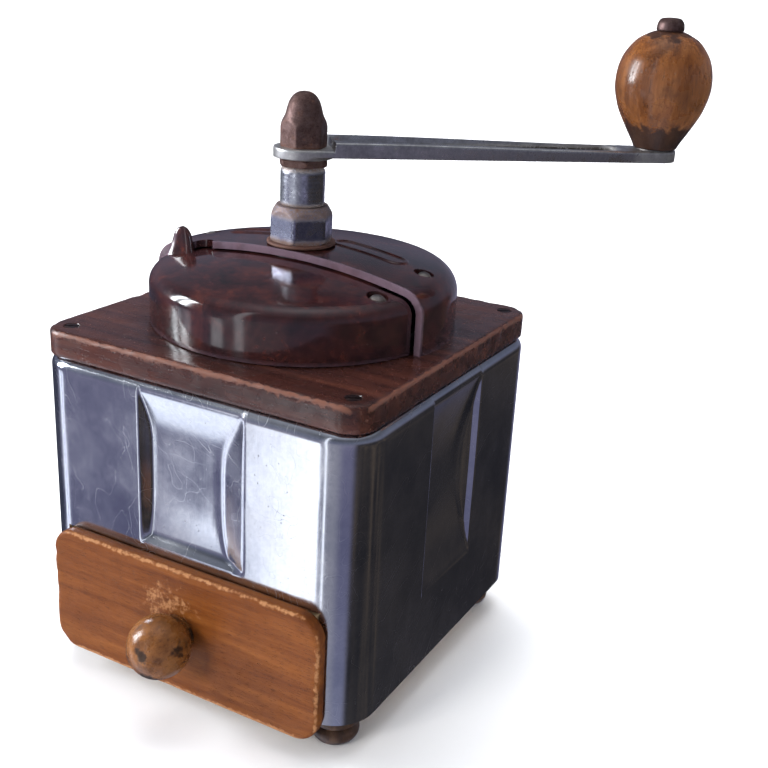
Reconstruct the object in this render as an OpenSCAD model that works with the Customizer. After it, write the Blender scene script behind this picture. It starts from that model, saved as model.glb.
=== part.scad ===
// Box coffee mill with a pressed metal case, a moulded hopper dome, a hand crank and a drawer.
// Modules are drawn about the shaft axis. The origin is the middle of the whole outline, on the ground, with
// the crank at rest.
// +Z up, -Y is the drawer side, +X is the right side.

/* [Case] */
// half width of the metal case
case_half = 62.55; // [50:0.05:75]
// vertical corner radius of the case
case_corner = 14.5; // [6:0.5:22]
// rounding of the case's top edge
case_shoulder = 3.5; // [1:0.1:6]
// sheet thickness of the case
case_sheet = 1.2; // [0.8:0.1:2]
// height of the case's lower edge above the ground
case_bottom = 12; // [6:0.5:20]
// depth of the pressed grips at mid height
grip_depth = 4.3; // [2:0.1:6]
// width of the front grip
grip_front_w = 40.6; // [30:0.2:50]
// sideways shift of the front grip
grip_front_shift = 1.6; // [-3:0.1:3]
// width of the side and rear grips
grip_side_w = 36; // [30:0.5:50]

/* [Top plate] */
// half width of the wooden top plate
plate_half = 61; // [50:0.5:75]
// vertical corner radius of the top plate
plate_corner = 9; // [3:0.5:16]
// thickness of the top plate
plate_thick = 9; // [6:0.5:14]
// height of the top plate's upper face above the ground
plate_top = 119.5; // [100:0.5:140]
// distance of each plate screw from the centre, along X and along Y
plate_screw_xy = 53.5; // [45:0.5:56]

/* [Hopper] */
// outer radius of the fixed dome
dome_r = 53.5; // [45:0.5:58]
// height of the dome's upright wall
dome_wall_h = 12.8; // [8:0.2:18]
// radius of the dome's shoulder
dome_shoulder = 8.5; // [6:0.5:12]
// wall thickness of the mouldings
mould_t = 2.4; // [2:0.1:3.5]
// gap between the dome and the lid below it
lid_gap = 0.6; // [0.3:0.1:1]
// distance of the dome's front edge from the shaft axis
lip_y = 11; // [8:0.5:16]
// X of the lid's pivot
lid_pivot_x = 39.5; // [36:0.5:42]
// Y of the lid's pivot
lid_pivot_y = -17; // [-20:0.5:-14]
// X of each long dome screw
dome_screw_x = 43; // [40:0.5:45]
// Y of each long dome screw
dome_screw_y = 7.4; // [6:0.2:9]

/* [Shaft] */
// radius of the drive shaft
shaft_r = 4.5; // [4:0.1:6]
// running clearance of every turning or sliding fit, on the radius
fit = 0.05; // [0.02:0.01:0.1]
// outer radius of the threaded bearing tube
tube_r = 7; // [6:0.1:8]
// height of the hexagonal bearing nut
nut_h = 12; // [8:0.5:14]
// radius across the corners of the bearing nut
nut_r = 10.85; // [9:0.05:13]
// radius of the adjusting sleeve
sleeve_r = 7.4; // [6.5:0.1:9]
// width across the flats of the shaft's square
square_w = 7; // [6:0.1:8]

/* [Crank] */
// direction of the crank arm at rest, from +X towards +Y
arm_turn = 40.3; // [0:0.1:360]
// distance from the shaft axis to the crank knob's axis
arm_len = 122.3; // [90:0.1:140]
// radius of the arm's hub
hub_r = 9.9; // [8:0.1:12]
// radius of the arm's outer end
arm_end_r = 7.3; // [6:0.1:9]
// width of the arm's two raised rails
rail_w = 2.3; // [1.5:0.1:3]
// greatest radius of the crank knob
knob_r = 16.25; // [12:0.25:20]
// height of the crank knob
knob_h = 38.6; // [30:0.2:50]

/* [Drawer] */
// half width of the drawer's front board
front_half = 53.2; // [45:0.1:58]
// height of the drawer's front board
front_h = 45.2; // [35:0.2:55]
// height of the front board's lower edge above the ground
front_bottom = 7.1; // [4:0.1:12]
// how far the front board stands in front of the case
front_proud = 4.75; // [3:0.05:8]
// corner radius of the front board
front_corner = 8.5; // [3:0.5:12]
// half width of the drawer box
box_half = 49.4; // [42:0.1:52]
// length of the drawer box
box_len = 104; // [80:1:110]
// radius of the drawer's wooden ball knob
ball_r = 10.4; // [8:0.1:13]

/* [Feet] */
// distance of each foot from the centre, along X and along Y
foot_xy = 50; // [42:0.5:52]
// radius of each foot
foot_r = 8; // [6:0.1:10]

/* [Preview] */
// how far the drawer is drawn open in the preview
show_drawer = 0; // [0:1:80]
// how far the lid is drawn open in the preview
show_lid = 0; // [0:1:80]

/* [Hidden] */
$fn = 64;
// far past any solid, for cutting tools
far = 200;
// overlap of cutting tools and of joined pieces of one solid
eps = 0.02;
// gap between two pieces that press against each other
press = 0.02;
case_top = plate_top - plate_thick;
case_in = case_half - case_sheet;
case_in_corner = case_corner - case_sheet;
// base board
base_z0 = case_bottom + 0.3;
base_t = 8;
base_z1 = base_z0 + base_t;
base_screw_x = 53.5;
base_screw_y = 34;
base_screw_len = 17;
plate_screw_len = 26;
// drawer space and the board over it
runner_w = 7;
runner_in = box_half + 0.6;
runner_h = 33.2;
chute_z0 = base_z1 + runner_h;
chute_t = 3;
chute_z1 = chute_z0 + chute_t;
chute_hole_r = 28;
block_in = 45;
// hopper heights above the plate's upper face
dome_ring = dome_r - dome_shoulder;
dome_tilt = 13;
dome_big_r = (dome_ring + dome_shoulder * sin(dome_tilt)) / sin(dome_tilt);
dome_centre_z = dome_wall_h + dome_shoulder * cos(dome_tilt) - dome_big_r * cos(dome_tilt);
dome_peak = dome_centre_z + dome_big_r;
lid_drop = mould_t + lid_gap;
// radius of the arch's bearing boss
boss_r = 10;
// blank plaques beside the nut
plaque_x = 21;
plaque_y = 10;
plaque_half_len = 14.5;
plaque_half_w = 4.6;
plaque_rise = 0.45;
// washer under the bearing nut
nut_washer_r = 11.6;
// centres of the bridge's foot screws
bridge_screw_x = 43.6;
// screw that holds the lid's bracket to the bridge
bracket_x = 26;
bracket_screw_z = 19.4;
rivet_r = 1.98;
// shaft stack heights above the plate's upper face
nut_z = 27.5;
sleeve_z = nut_z + nut_h;
ring_z = 52.4;
arm_z = 55.2;
hub_top = 58.5;
cap_h = 17.6;
square_z0 = 53.5;
square_z1 = 60;
shaft_z0 = -61;
shaft_z1 = 70;
shaft_neck_r = 3;
pin_r = 3;
knob_z = 60.4;
washer_z = 60;
// burr heights below the plate's upper face
ring_burr_r = 22;
ring_burr_z0 = -52;
ring_burr_z1 = -27;
inner_burr_z0 = -52.5;
inner_burr_z1 = -28;
housing_r = 25;
mouth_r = 36;
flange_r = 40.3;
flange_t = 2.3;
ear_xy = 30;
ear_r = 5;
plate_hole_r = 38;
bar_z0 = -60;
bar_z1 = -56;
bar_screw_x = 23.5;
bush_r = 6.5;
// drawer
front_y0 = -case_half - front_proud;
front_y1 = -case_half - 0.2;
box_z0 = base_z1 + 0.2;
box_h = 29;
box_t = 5;
box_y0 = front_y1 + 5.2;
ball_y = -76.8;
knob_mid_z = front_bottom + front_h / 2;
// middle of the whole outline, with the crank at rest
reach_x = arm_len * cos(arm_turn) + knob_r;
reach_y = arm_len * sin(arm_turn) + knob_r;
outline_middle = [(reach_x - case_half) / 2, (reach_y + ball_y - ball_r) / 2, 0];

chrome = [0.78, 0.79, 0.83];
old_steel = [0.42, 0.41, 0.42];
brown_steel = [0.3, 0.24, 0.22];
iron = [0.2, 0.2, 0.21];
brass = [0.72, 0.56, 0.3];
bakelite = [0.2, 0.07, 0.06];
dark_wood = [0.33, 0.16, 0.11];
plain_wood = [0.72, 0.56, 0.38];
drawer_wood = [0.62, 0.33, 0.16];
knob_wood = [0.5, 0.25, 0.1];
foot_wood = [0.3, 0.19, 0.1];

// ---------- shared shapes ----------

module rounded_square(hx, hy, r) {
  square([2 * hx, 2 * (hy - r)], center = true);
  square([2 * (hx - r), 2 * hy], center = true);
  for (sx = [-1, 1], sy = [-1, 1]) translate([sx * (hx - r), sy * (hy - r)]) circle(r);
}

module rounded_block(hx, hy, r, h) {
  linear_extrude(h) rounded_square(hx, hy, r);
}

// rounded block whose upper edge is rounded over
module soft_top_block(half, r, h, edge) {
  steps = 5;
  rounded_block(half, half, r, h - edge);
  hull() {
    for (i = [0:steps]) let (a = 90 * i / steps, inset = edge * (1 - cos(a))) {
      translate([0, 0, h - edge + edge * sin(a) - 0.01])
        rounded_block(half - inset, half - inset, r - inset, 0.01, $fn = 32);
    }
  }
}

module at_corners(xy) {
  for (sx = [-1, 1], sy = [-1, 1]) translate([sx * xy, sy * xy, 0]) children();
}

// slotted countersunk wood screw, head up, its top face at z = 0
module wood_screw(head_r, shank_r, len) {
  sink = head_r - shank_r;
  difference() {
    union() {
      translate([0, 0, -sink]) cylinder(r1 = shank_r, r2 = head_r, h = sink);
      translate([0, 0, -len]) cylinder(r = shank_r, h = len);
    }
    translate([-far, -0.35, -0.7]) cube([2 * far, 0.7, far]);
  }
}

// the hole such a screw sits in
module wood_screw_hole(head_r, shank_r, len) {
  sink = head_r - shank_r;
  translate([0, 0, -sink]) cylinder(r1 = shank_r, r2 = head_r, h = sink);
  translate([0, 0, -len - 0.5]) cylinder(r = shank_r, h = len + 0.5);
  translate([0, 0, -eps]) cylinder(r = head_r, h = far);
}

// ---------- case ----------

// depth of the grip's side wall at a distance from its upright edge
function cove(t) = 2.4 + (grip_depth - 2.2) * sin(90 * t);

// cutting tool for one pressed grip, on the face at y = -case_half
module grip_tool(w, z0, z1, grow) {
  mid = (z0 + z1) / 2;
  chord = (z1 - z0) / 2;
  big = (chord * chord + grip_depth * grip_depth) / (2 * grip_depth);
  steps = 8;
  steep = 1.3;
  run = 9;
  half = w / 2 + grow;
  side = [for (i = [0:steps]) [half - steep - run * i / steps, cove(i / steps) + grow]];
  pts = concat([[half, -far], [half, 0]], side, [[0, cove(1) + grow]]);
  mirrored = [for (i = [len(pts) - 2:-1:0]) [-pts[i][0], pts[i][1]]];
  intersection() {
    translate([0, -case_half, z0 - 5]) linear_extrude(z1 - z0 + 10) polygon(concat(pts, mirrored));
    translate([0, -case_half - (big - grip_depth), mid]) rotate([0, 90, 0])
      cylinder(r = big + grow, h = w + 10, center = true, $fn = 180);
  }
}

module all_grips(grow) {
  z1 = case_top - 1;
  side_z0 = plate_top - 80;
  front_z0 = plate_top - 64;
  translate([grip_front_shift, 0, 0]) grip_tool(grip_front_w, front_z0, z1, grow);
  for (a = [90, 180, 270]) rotate([0, 0, a]) grip_tool(grip_side_w, side_z0, z1, grow);
}

module body_shell() {
  h = case_top - case_bottom;
  flange_in = 46;
  color(chrome) difference() {
    translate([0, 0, case_bottom]) soft_top_block(case_half, case_corner, h, case_shoulder);
    difference() {
      translate([0, 0, case_bottom - 1])
        soft_top_block(case_in, case_in_corner, h + 1 - case_sheet, case_shoulder - case_sheet);
      all_grips(case_sheet);
    }
    all_grips(0);
    translate([0, 0, case_bottom - 1]) rounded_block(flange_in, flange_in, 8, h + 2);
    translate([-runner_in - 0.4, -far, case_bottom - 1]) cube([2 * (runner_in + 0.4), far - 55, 40.8]);
    at_corners(plate_screw_xy) translate([0, 0, case_top - 5]) cylinder(r = 1.8, h = 10);
  }
}

module top_plate() {
  color(dark_wood) difference() {
    translate([0, 0, case_top]) soft_top_block(plate_half, plate_corner, plate_thick, 1.2);
    translate([0, 0, case_top - 1]) cylinder(r = plate_hole_r, h = plate_thick + 2);
    translate([0, 0, plate_top - flange_t]) {
      cylinder(r = flange_r + 0.2, h = far);
      at_corners(ear_xy) cylinder(r = ear_r + 0.2, h = far);
    }
    at_corners(ear_xy) translate([0, 0, plate_top - 8]) cylinder(r = 1.5, h = 10);
    at_corners(plate_screw_xy) translate([0, 0, plate_top]) wood_screw_hole(2.55, 1.5, plate_screw_len);
    for (s = [-1, 1]) {
      translate([s * bridge_screw_x, 0, plate_top - 7]) cylinder(r = 1.4, h = 10);
      translate([s * dome_screw_x, dome_screw_y, plate_top - 7]) cylinder(r = 1.4, h = 10);
    }
  }
}

module top_plate_screws() {
  color(old_steel) at_corners(plate_screw_xy) translate([0, 0, plate_top - 0.1]) rotate([0, 0, 35])
    wood_screw(2.4, 1.5, plate_screw_len);
}

module corner_blocks() {
  z0 = chute_z1;
  z1 = case_top - case_shoulder - 0.1;
  fit_in = case_in - 0.1;
  color(plain_wood) difference() {
    translate([0, 0, z0]) intersection() {
      rounded_block(fit_in, fit_in, case_in_corner - 0.1, z1 - z0);
      for (sx = [-1, 1], sy = [-1, 1])
        translate([sx * (block_in + 20), sy * (block_in + 20), 0]) cube([40, 40, far], center = true);
    }
    at_corners(plate_screw_xy) translate([0, 0, plate_top - plate_screw_len - 0.6])
      cylinder(r = 1.52, h = 40);
  }
}

module chute_board() {
  half = 56.4;
  color(plain_wood) difference() {
    translate([0, 0, chute_z0]) rounded_block(half, half, 9, chute_t);
    translate([0, 0, chute_z0 - 1]) cylinder(r = chute_hole_r, h = chute_t + 2);
  }
}

module drawer_runners() {
  len = 102;
  color(plain_wood) difference() {
    for (s = [-1, 1]) translate([s * (runner_in + runner_w / 2), 0, base_z1 + runner_h / 2])
      cube([runner_w, len, runner_h], center = true);
    for (sx = [-1, 1], sy = [-1, 1]) translate([sx * base_screw_x, sy * base_screw_y, base_z1 - 1])
      cylinder(r = 1.5, h = 10.6);
  }
}

module base_board() {
  half = case_in - 0.15;
  color(plain_wood) difference() {
    translate([0, 0, base_z0]) rounded_block(half, half, case_in_corner - 0.15, base_t);
    at_corners(foot_xy) translate([0, 0, base_z0 - 1]) cylinder(r = 1.6, h = 7.6);
    for (sx = [-1, 1], sy = [-1, 1]) translate([sx * base_screw_x, sy * base_screw_y, base_z0])
      mirror([0, 0, 1])
      wood_screw_hole(3, 1.5, base_screw_len);
  }
}

module base_screws() {
  color(old_steel) for (sx = [-1, 1], sy = [-1, 1])
    translate([sx * base_screw_x, sy * base_screw_y, base_z0 + 0.1])
    mirror([0, 0, 1]) wood_screw(2.85, 1.5, base_screw_len);
}

// turned foot: a grooved button with its flat end on the ground
module foot_body() {
  h = base_z0;
  difference() {
    rotate_extrude() polygon([[0, 0], [foot_r - 2.6, 0], [foot_r - 1.2, 0.8], [foot_r - 0.2, 2.6],
      [foot_r - 0.1, 4.2], [foot_r - 1.1, 5.4], [foot_r - 1.7, 5.9], [foot_r - 1.1, 6.4], [foot_r - 0.2, 7.2],
      [foot_r, 8.6], [foot_r - 0.3, 10], [foot_r - 1, 10.6], [foot_r - 0.6, 11.2], [foot_r - 0.4, h],
      [0, h]]);
    translate([0, 0, -1]) cylinder(r = 3.4, h = 5);
    cylinder(r = 1.6, h = h + 1);
  }
}

module feet() {
  color(foot_wood) at_corners(foot_xy) foot_body();
}

module foot_screws() {
  color(old_steel) at_corners(foot_xy) difference() {
    union() {
      translate([0, 0, 1.9]) cylinder(r = 3, h = 2.1);
      translate([0, 0, 3]) cylinder(r = 1.6, h = 15.4);
    }
    translate([-far, -0.4, -1]) cube([2 * far, 0.8, 3.7]);
  }
}

// ---------- hopper ----------

// outline of the dome's half section, set in by d, from the upright wall to the shaft axis
function dome_line(d) = concat(
  [[dome_r - d, dome_wall_h]],
  [for (i = [1:8]) let (a = (90 - dome_tilt) * i / 8)
    [dome_ring + (dome_shoulder - d) * cos(a), dome_wall_h + (dome_shoulder - d) * sin(a)]],
  [for (i = [1:8]) let (a = dome_tilt * (1 - i / 8))
    [(dome_big_r - d) * sin(a), dome_centre_z + (dome_big_r - d) * cos(a)]]);

// solid dome, set in by d, standing on z = z0
module dome_solid(d, z0) {
  rotate_extrude($fn = 96) polygon(concat([[0, z0], [dome_r - d, z0]], dome_line(d)));
}

module hopper_dome() {
  notch = [-32.5, -lip_y - 1.2];
  color(bakelite) translate([0, 0, plate_top]) difference() {
    union() {
      difference() {
        dome_solid(0, 0);
        dome_solid(mould_t, -1);
      }
      intersection() {
        dome_solid(mould_t / 2, 0);
        for (s = [-1, 1]) translate([s * dome_screw_x, dome_screw_y, 0]) cylinder(r = 3, h = 30);
      }
      plaques();
    }
    translate([-far, -far - lip_y, -1]) cube([2 * far, far, far]);
    translate([0, 0, 15]) cylinder(r = tube_r + 0.1, h = 30);
    translate([notch[0], notch[1], 0]) cylinder(r = 4, h = far);
    for (s = [-1, 1]) translate([s * dome_screw_x, dome_screw_y, 0]) {
      translate([0, 0, -1]) cylinder(r = 1.5, h = far);
      translate([0, 0, 20.6]) cylinder(r = 3.4, h = far);
    }
  }
}

// plan of a bar with round ends, set in by d
module stadium(half_len, half_w, d) {
  straight = half_len - half_w;
  square([2 * straight, 2 * (half_w - d)], center = true);
  for (s = [-1, 1]) translate([s * straight, 0]) circle(half_w - d);
}

// thin raised border of a blank plaque on each side of the nut
module plaques() {
  border = 1.1;
  intersection() {
    difference() {
      dome_solid(-plaque_rise, 0);
      dome_solid(mould_t / 2, -1);
      cylinder(r = nut_washer_r + 0.3, h = far);
    }
    for (s = [-1, 1]) translate([s * plaque_x, plaque_y, 0]) rotate([0, 0, -s * 4]) linear_extrude(far)
      difference() {
        stadium(plaque_half_len, plaque_half_w, 0);
        stadium(plaque_half_len, plaque_half_w, border);
      }
  }
}

module dome_screws() {
  color(old_steel) for (s = [-1, 1]) translate([s * dome_screw_x, dome_screw_y, plate_top]) {
    translate([0, 0, -6.8]) cylinder(r = 1.4, h = 27.5);
    translate([0, 0, 20.62]) intersection() {
      cylinder(r = 2.3, h = 3);
      translate([0, 0, -2.2]) sphere(r = 3.6);
    }
  }
}

module burr_housing() {
  wall = 3;
  color(iron) translate([0, 0, plate_top]) difference() {
    union() {
      translate([0, 0, -flange_t]) cylinder(r = flange_r, h = flange_t);
      at_corners(ear_xy) translate([0, 0, -flange_t]) cylinder(r = ear_r, h = flange_t);
      translate([0, 0, -9.5]) cylinder(r = mouth_r + 1.6, h = 8);
      rotate_extrude() polygon([[0, -26], [housing_r, -26], [mouth_r + 1.6, -9.5], [0, -9.5]]);
      translate([0, 0, ring_burr_z0 - 4]) cylinder(r = housing_r, h = 30.5);
    }
    rotate_extrude() polygon([[0, ring_burr_z1], [ring_burr_r - 2, ring_burr_z1], [mouth_r - 2, -7],
      [mouth_r, -3], [mouth_r, 5], [0, 5]]);
    translate([0, 0, ring_burr_z0 - 5]) cylinder(r = ring_burr_r, h = ring_burr_z1 - ring_burr_z0 + 5);
    at_corners(ear_xy) wood_screw_hole(2.6, 1.5, 8);
    for (s = [-1, 1]) translate([s * bar_screw_x, 0, bar_z1 - 1]) cylinder(r = 0.8, h = 7);
  }
}

module housing_screws() {
  color(old_steel) at_corners(ear_xy) translate([0, 0, plate_top - 0.15]) rotate([0, 0, 70])
    wood_screw(2.35, 1.45, 7.6);
}

module outer_burr() {
  teeth = 12;
  color(iron) translate([0, 0, plate_top]) difference() {
    translate([0, 0, ring_burr_z0]) cylinder(r = ring_burr_r - press, h = ring_burr_z1 - ring_burr_z0 - press);
    rotate_extrude() polygon([[0, ring_burr_z0 - 1], [19.8, ring_burr_z0 - 1], [19.6, ring_burr_z0],
      [16.8, -40], [19.4, ring_burr_z1], [19.4, 0], [0, 0]]);
    for (i = [0:teeth - 1]) rotate([0, 0, i * 360 / teeth]) translate([17.4, 0, -38.5])
      rotate([14, 0, 0]) cylinder(r = 1.4, h = 22);
  }
}

// arch over the hopper that carries the shaft's upper bearing
module upper_bridge() {
  half_w = 4.8;
  outer = [[40, 0], [40, 11], [37.5, 16.5], [33, 19.6], [26, 21.4], [16, 22.8], [8, 23.5], [0, 23.7]];
  inner = [[0, 20], [15, 19.3], [25, 18], [31, 16.2], [34.5, 13.6], [36.4, 10], [36.4, 0]];
  boss_top = dome_peak - mould_t - 0.4;
  color(iron) translate([0, 0, plate_top]) difference() {
    union() {
      for (a = [0, 180]) rotate([0, 0, a]) rotate([90, 0, 0])
        linear_extrude(2 * half_w, center = true) polygon(concat(outer, inner));
      translate([0, 0, 15.5]) cylinder(r = boss_r, h = boss_top - 15.5);
      for (s = [-1, 1]) translate([s * 41.5, 0, 1.25]) cube([9, 8.4, 2.5], center = true);
    }
    translate([0, 0, 10]) cylinder(r = tube_r, h = 30);
    for (s = [-1, 1]) translate([s * bridge_screw_x, 0, -1]) cylinder(r = 1.5, h = 5);
    translate([bracket_x, -half_w - 1, bracket_screw_z]) rotate([-90, 0, 0]) cylinder(r = 0.9, h = 6);
  }
}

module bridge_screws() {
  color(old_steel) for (s = [-1, 1]) translate([s * bridge_screw_x, 0, plate_top]) difference() {
    union() {
      translate([0, 0, 2.52]) cylinder(r = 2.3, h = 1.4);
      translate([0, 0, -6.8]) cylinder(r = 1.4, h = 9.6);
    }
    translate([-far, -0.3, 3.3]) cube([2 * far, 0.6, 2]);
  }
}

// bent strap under the lid that holds the lid's pivot
module lid_bracket() {
  from = [bracket_x, -5.7];
  run = norm([lid_pivot_x - from[0], lid_pivot_y - from[1]]);
  turn = atan2(lid_pivot_y - from[1], lid_pivot_x - from[0]);
  half_w = 3;
  z0 = 13;
  t = 1.5;
  color(old_steel) translate([0, 0, plate_top]) difference() {
    union() {
      translate([from[0], from[1], z0]) rotate([0, 0, turn]) translate([0, -half_w, 0])
        cube([run, 2 * half_w, t]);
      translate([lid_pivot_x, lid_pivot_y, z0]) cylinder(r = half_w + 0.6, h = t);
      translate([bracket_x - 3.5, -6.35, z0]) cube([7, 1.5, 8]);
    }
    translate([lid_pivot_x, lid_pivot_y, z0 - 1]) cylinder(r = rivet_r, h = 5);
    translate([bracket_x, -8, bracket_screw_z]) rotate([-90, 0, 0]) cylinder(r = 1, h = 6);
    translate([15, -4.85, z0 - 1]) cube([20, 10, 12]);
  }
}

module bracket_screw() {
  color(old_steel) translate([bracket_x, -6.37, plate_top + bracket_screw_z]) rotate([-90, 0, 0]) difference() {
    union() {
      cylinder(r = 0.88, h = 6);
      translate([0, 0, -0.9]) cylinder(r = 1.6, h = 0.9);
    }
    translate([-far, -0.2, -1.2]) cube([2 * far, 0.4, 0.7]);
  }
}

module lid_rivet() {
  color(old_steel) translate([lid_pivot_x, lid_pivot_y, plate_top]) {
    translate([0, 0, 12.4]) cylinder(r = rivet_r, h = 5.6);
    translate([0, 0, 12.2]) cylinder(r = 2.8, h = 0.78);
    translate([0, 0, 17.65]) intersection() {
      cylinder(r = 2.6, h = 3);
      translate([0, 0, -1.9]) sphere(r = 3.3);
    }
  }
}

module hopper_lid() {
  end_y = -lip_y - 0.6;
  lap_y = -7.4;
  lap_r = 38.5;
  pin_hole = rivet_r + fit;
  seat_z = 17.6;
  color(bakelite) translate([0, 0, plate_top]) difference() {
    union() {
      intersection() {
        difference() {
          dome_solid(lid_drop, 0.25);
          dome_solid(lid_drop + mould_t, -1);
        }
        union() {
          translate([-far, end_y - far, 0]) cube([2 * far, far, far]);
          difference() {
            intersection() {
              translate([-far, -far + lap_y, 16]) cube([2 * far, far, far]);
              cylinder(r = lap_r, h = far);
            }
            cylinder(r = boss_r + 0.9, h = far);
          }
        }
      }
      translate([lid_pivot_x, lid_pivot_y, 14.6]) cylinder(r = 4.6, h = 3.2);
      lid_tab();
    }
    translate([lid_pivot_x, lid_pivot_y, 0]) {
      translate([0, 0, 10]) cylinder(r = pin_hole, h = 20);
      translate([0, 0, seat_z]) cylinder(r = 3.5, h = 20);
    }
  }
}

// upright thumb fin at the lid's free end
module lid_tab() {
  base_w = 11.4;
  tip_w = 5;
  top = 28.3;
  foot = 17;
  y0 = -17;
  y1 = -11.7;
  translate([-39.6, 0, 0]) intersection() {
    translate([0, y1, 0]) rotate([90, 0, 0]) linear_extrude(y1 - y0) union() {
      polygon([[-base_w / 2, foot], [base_w / 2, foot], [tip_w / 2 + 0.35, top - tip_w / 2 + 0.4],
        [-tip_w / 2 - 0.35, top - tip_w / 2 + 0.4]]);
      translate([0, top - tip_w / 2 - 0.3]) circle(tip_w / 2 + 0.55);
    }
    rotate([90, 0, 90]) translate([0, 0, -20]) linear_extrude(40)
      polygon([[y0, foot], [y1, foot], [y1, top + 1], [y1 - 2.4, top + 1], [y1 - 3.4, 24], [y0 + 0.6, 19.4]]);
  }
}

// ---------- bearing and burrs ----------

module bearing_tube() {
  color(old_steel) translate([0, 0, plate_top]) difference() {
    union() {
      translate([0, 0, 13]) cylinder(r = 9.5, h = 2.45);
      translate([0, 0, 14]) cylinder(r = tube_r - 0.03, h = sleeve_z - 14 - 0.3);
    }
    translate([0, 0, 12]) cylinder(r = shaft_r + fit, h = 30);
  }
}

module nut_washer() {
  color(brown_steel) translate([0, 0, plate_top]) difference() {
    translate([0, 0, dome_peak + press]) cylinder(r = nut_washer_r, h = nut_z - dome_peak - 2 * press);
    translate([0, 0, 20]) cylinder(r = tube_r + 0.1, h = 20);
  }
}

// hexagon with its upper corners turned off
module turned_hexagon(r, h, shoulder_r, shoulder_z) {
  intersection() {
    cylinder(r = r, h = h, $fn = 6);
    rotate_extrude() polygon([[0, 0], [r - 0.7, 0], [r + 0.05, 0.6], [r + 0.05, shoulder_z],
      [r - 0.7, shoulder_z + (h - shoulder_z) * 0.45], [shoulder_r, h], [0, h]]);
  }
}

module bearing_nut() {
  color(chrome) translate([0, 0, plate_top + nut_z]) difference() {
    rotate([0, 0, -72]) turned_hexagon(nut_r, nut_h, 8.6, 7.6);
    translate([0, 0, -1]) cylinder(r = tube_r, h = nut_h + 2);
  }
}

module lower_bridge() {
  color(iron) translate([0, 0, plate_top]) difference() {
    translate([-27, -8.5, bar_z0]) cube([54, 17, bar_z1 - bar_z0 - press]);
    translate([0, 0, bar_z0 - 1]) cylinder(r = bush_r, h = 8);
    for (s = [-1, 1]) translate([s * bar_screw_x, 0, bar_z0 - 1]) cylinder(r = 0.9, h = 8);
  }
}

module lower_bush() {
  color(brass) translate([0, 0, plate_top]) difference() {
    union() {
      translate([0, 0, bar_z0 - 0.4]) cylinder(r = bush_r - press, h = 4.4);
      translate([0, 0, bar_z0 - 1.4]) cylinder(r = 7.8, h = 1.38);
    }
    translate([0, 0, bar_z0 - 3]) cylinder(r = shaft_r + fit, h = 12);
  }
}

module lower_bridge_screws() {
  color(old_steel) for (s = [-1, 1]) translate([s * bar_screw_x, 0, plate_top + bar_z0]) {
    translate([0, 0, -1.3]) cylinder(r = 1.7, h = 1.28);
    translate([0, 0, -0.5]) cylinder(r = 0.78, h = 9);
  }
}

// ---------- spindle ----------

module drive_shaft() {
  neck_h = shaft_z1 - square_z1;
  color(old_steel) translate([0, 0, plate_top]) {
    translate([0, 0, shaft_z0]) cylinder(r = shaft_r, h = square_z0 - shaft_z0);
    intersection() {
      translate([0, 0, square_z0 - 1]) cylinder(r = shaft_r, h = square_z1 - square_z0 + 1);
      translate([0, 0, 50]) rotate([0, 0, arm_turn]) cube([square_w, square_w, 60], center = true);
    }
    translate([0, 0, square_z1 - 1]) cylinder(r = shaft_neck_r, h = neck_h + 1);
  }
}

module inner_burr() {
  teeth = 10;
  color(iron) translate([0, 0, plate_top]) difference() {
    rotate_extrude() polygon([[0, inner_burr_z0], [18.4, inner_burr_z0], [18.5, inner_burr_z0 + 1.2],
      [15.2, -41], [8.5, inner_burr_z1], [0, inner_burr_z1]]);
    translate([0, 0, inner_burr_z0 - 1]) cylinder(r = shaft_r + 0.01, h = 30);
    for (i = [0:teeth - 1]) rotate([0, 0, i * 360 / teeth]) translate([18.2, 0, inner_burr_z0 - 1])
      rotate([-24, -24, 0]) cylinder(r = 1.5, h = 30);
  }
}

module burr_washer() {
  color(old_steel) translate([0, 0, plate_top + inner_burr_z0 - 0.82]) difference() {
    cylinder(r = 8, h = 0.8);
    translate([0, 0, -1]) cylinder(r = shaft_r + 0.01, h = 3);
  }
}

module burr_nut() {
  color(old_steel) translate([0, 0, plate_top + inner_burr_z1 + press]) difference() {
    cylinder(r = 7.4, h = 4, $fn = 6);
    translate([0, 0, -1]) cylinder(r = shaft_r + 0.01, h = 6);
  }
}

// ---------- adjuster and crank ----------

module adjusting_sleeve() {
  color(chrome) translate([0, 0, plate_top]) difference() {
    rotate_extrude() polygon([[0, sleeve_z + 0.1], [sleeve_r - 0.2, sleeve_z + 0.1],
      [sleeve_r, sleeve_z + 0.7], [sleeve_r, ring_z - 1.4], [sleeve_r - 0.5, ring_z - 0.5],
      [sleeve_r - 0.9, ring_z], [0, ring_z]]);
    translate([0, 0, sleeve_z - 1]) cylinder(r = shaft_r + fit, h = 20);
  }
}

module lock_ring() {
  color(brown_steel) translate([0, 0, plate_top + ring_z + press]) difference() {
    rotate([0, 0, -50]) turned_hexagon(8.6, arm_z - ring_z - 0.07, 8.2, 2);
    translate([0, 0, -1]) cylinder(r = shaft_r + fit, h = 6);
  }
}

// plan of the crank arm: hub, tapered bar and rounded end, set in by d
module arm_plan(d) {
  slope = asin((hub_r - arm_end_r) / arm_len);
  a = hub_r - d;
  b = arm_end_r - d;
  circle(a);
  translate([arm_len, 0]) circle(b);
  polygon([[a * sin(slope), a * cos(slope)], [arm_len + b * sin(slope), b * cos(slope)],
    [arm_len + b * sin(slope), -b * cos(slope)], [a * sin(slope), -a * cos(slope)]]);
}

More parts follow.
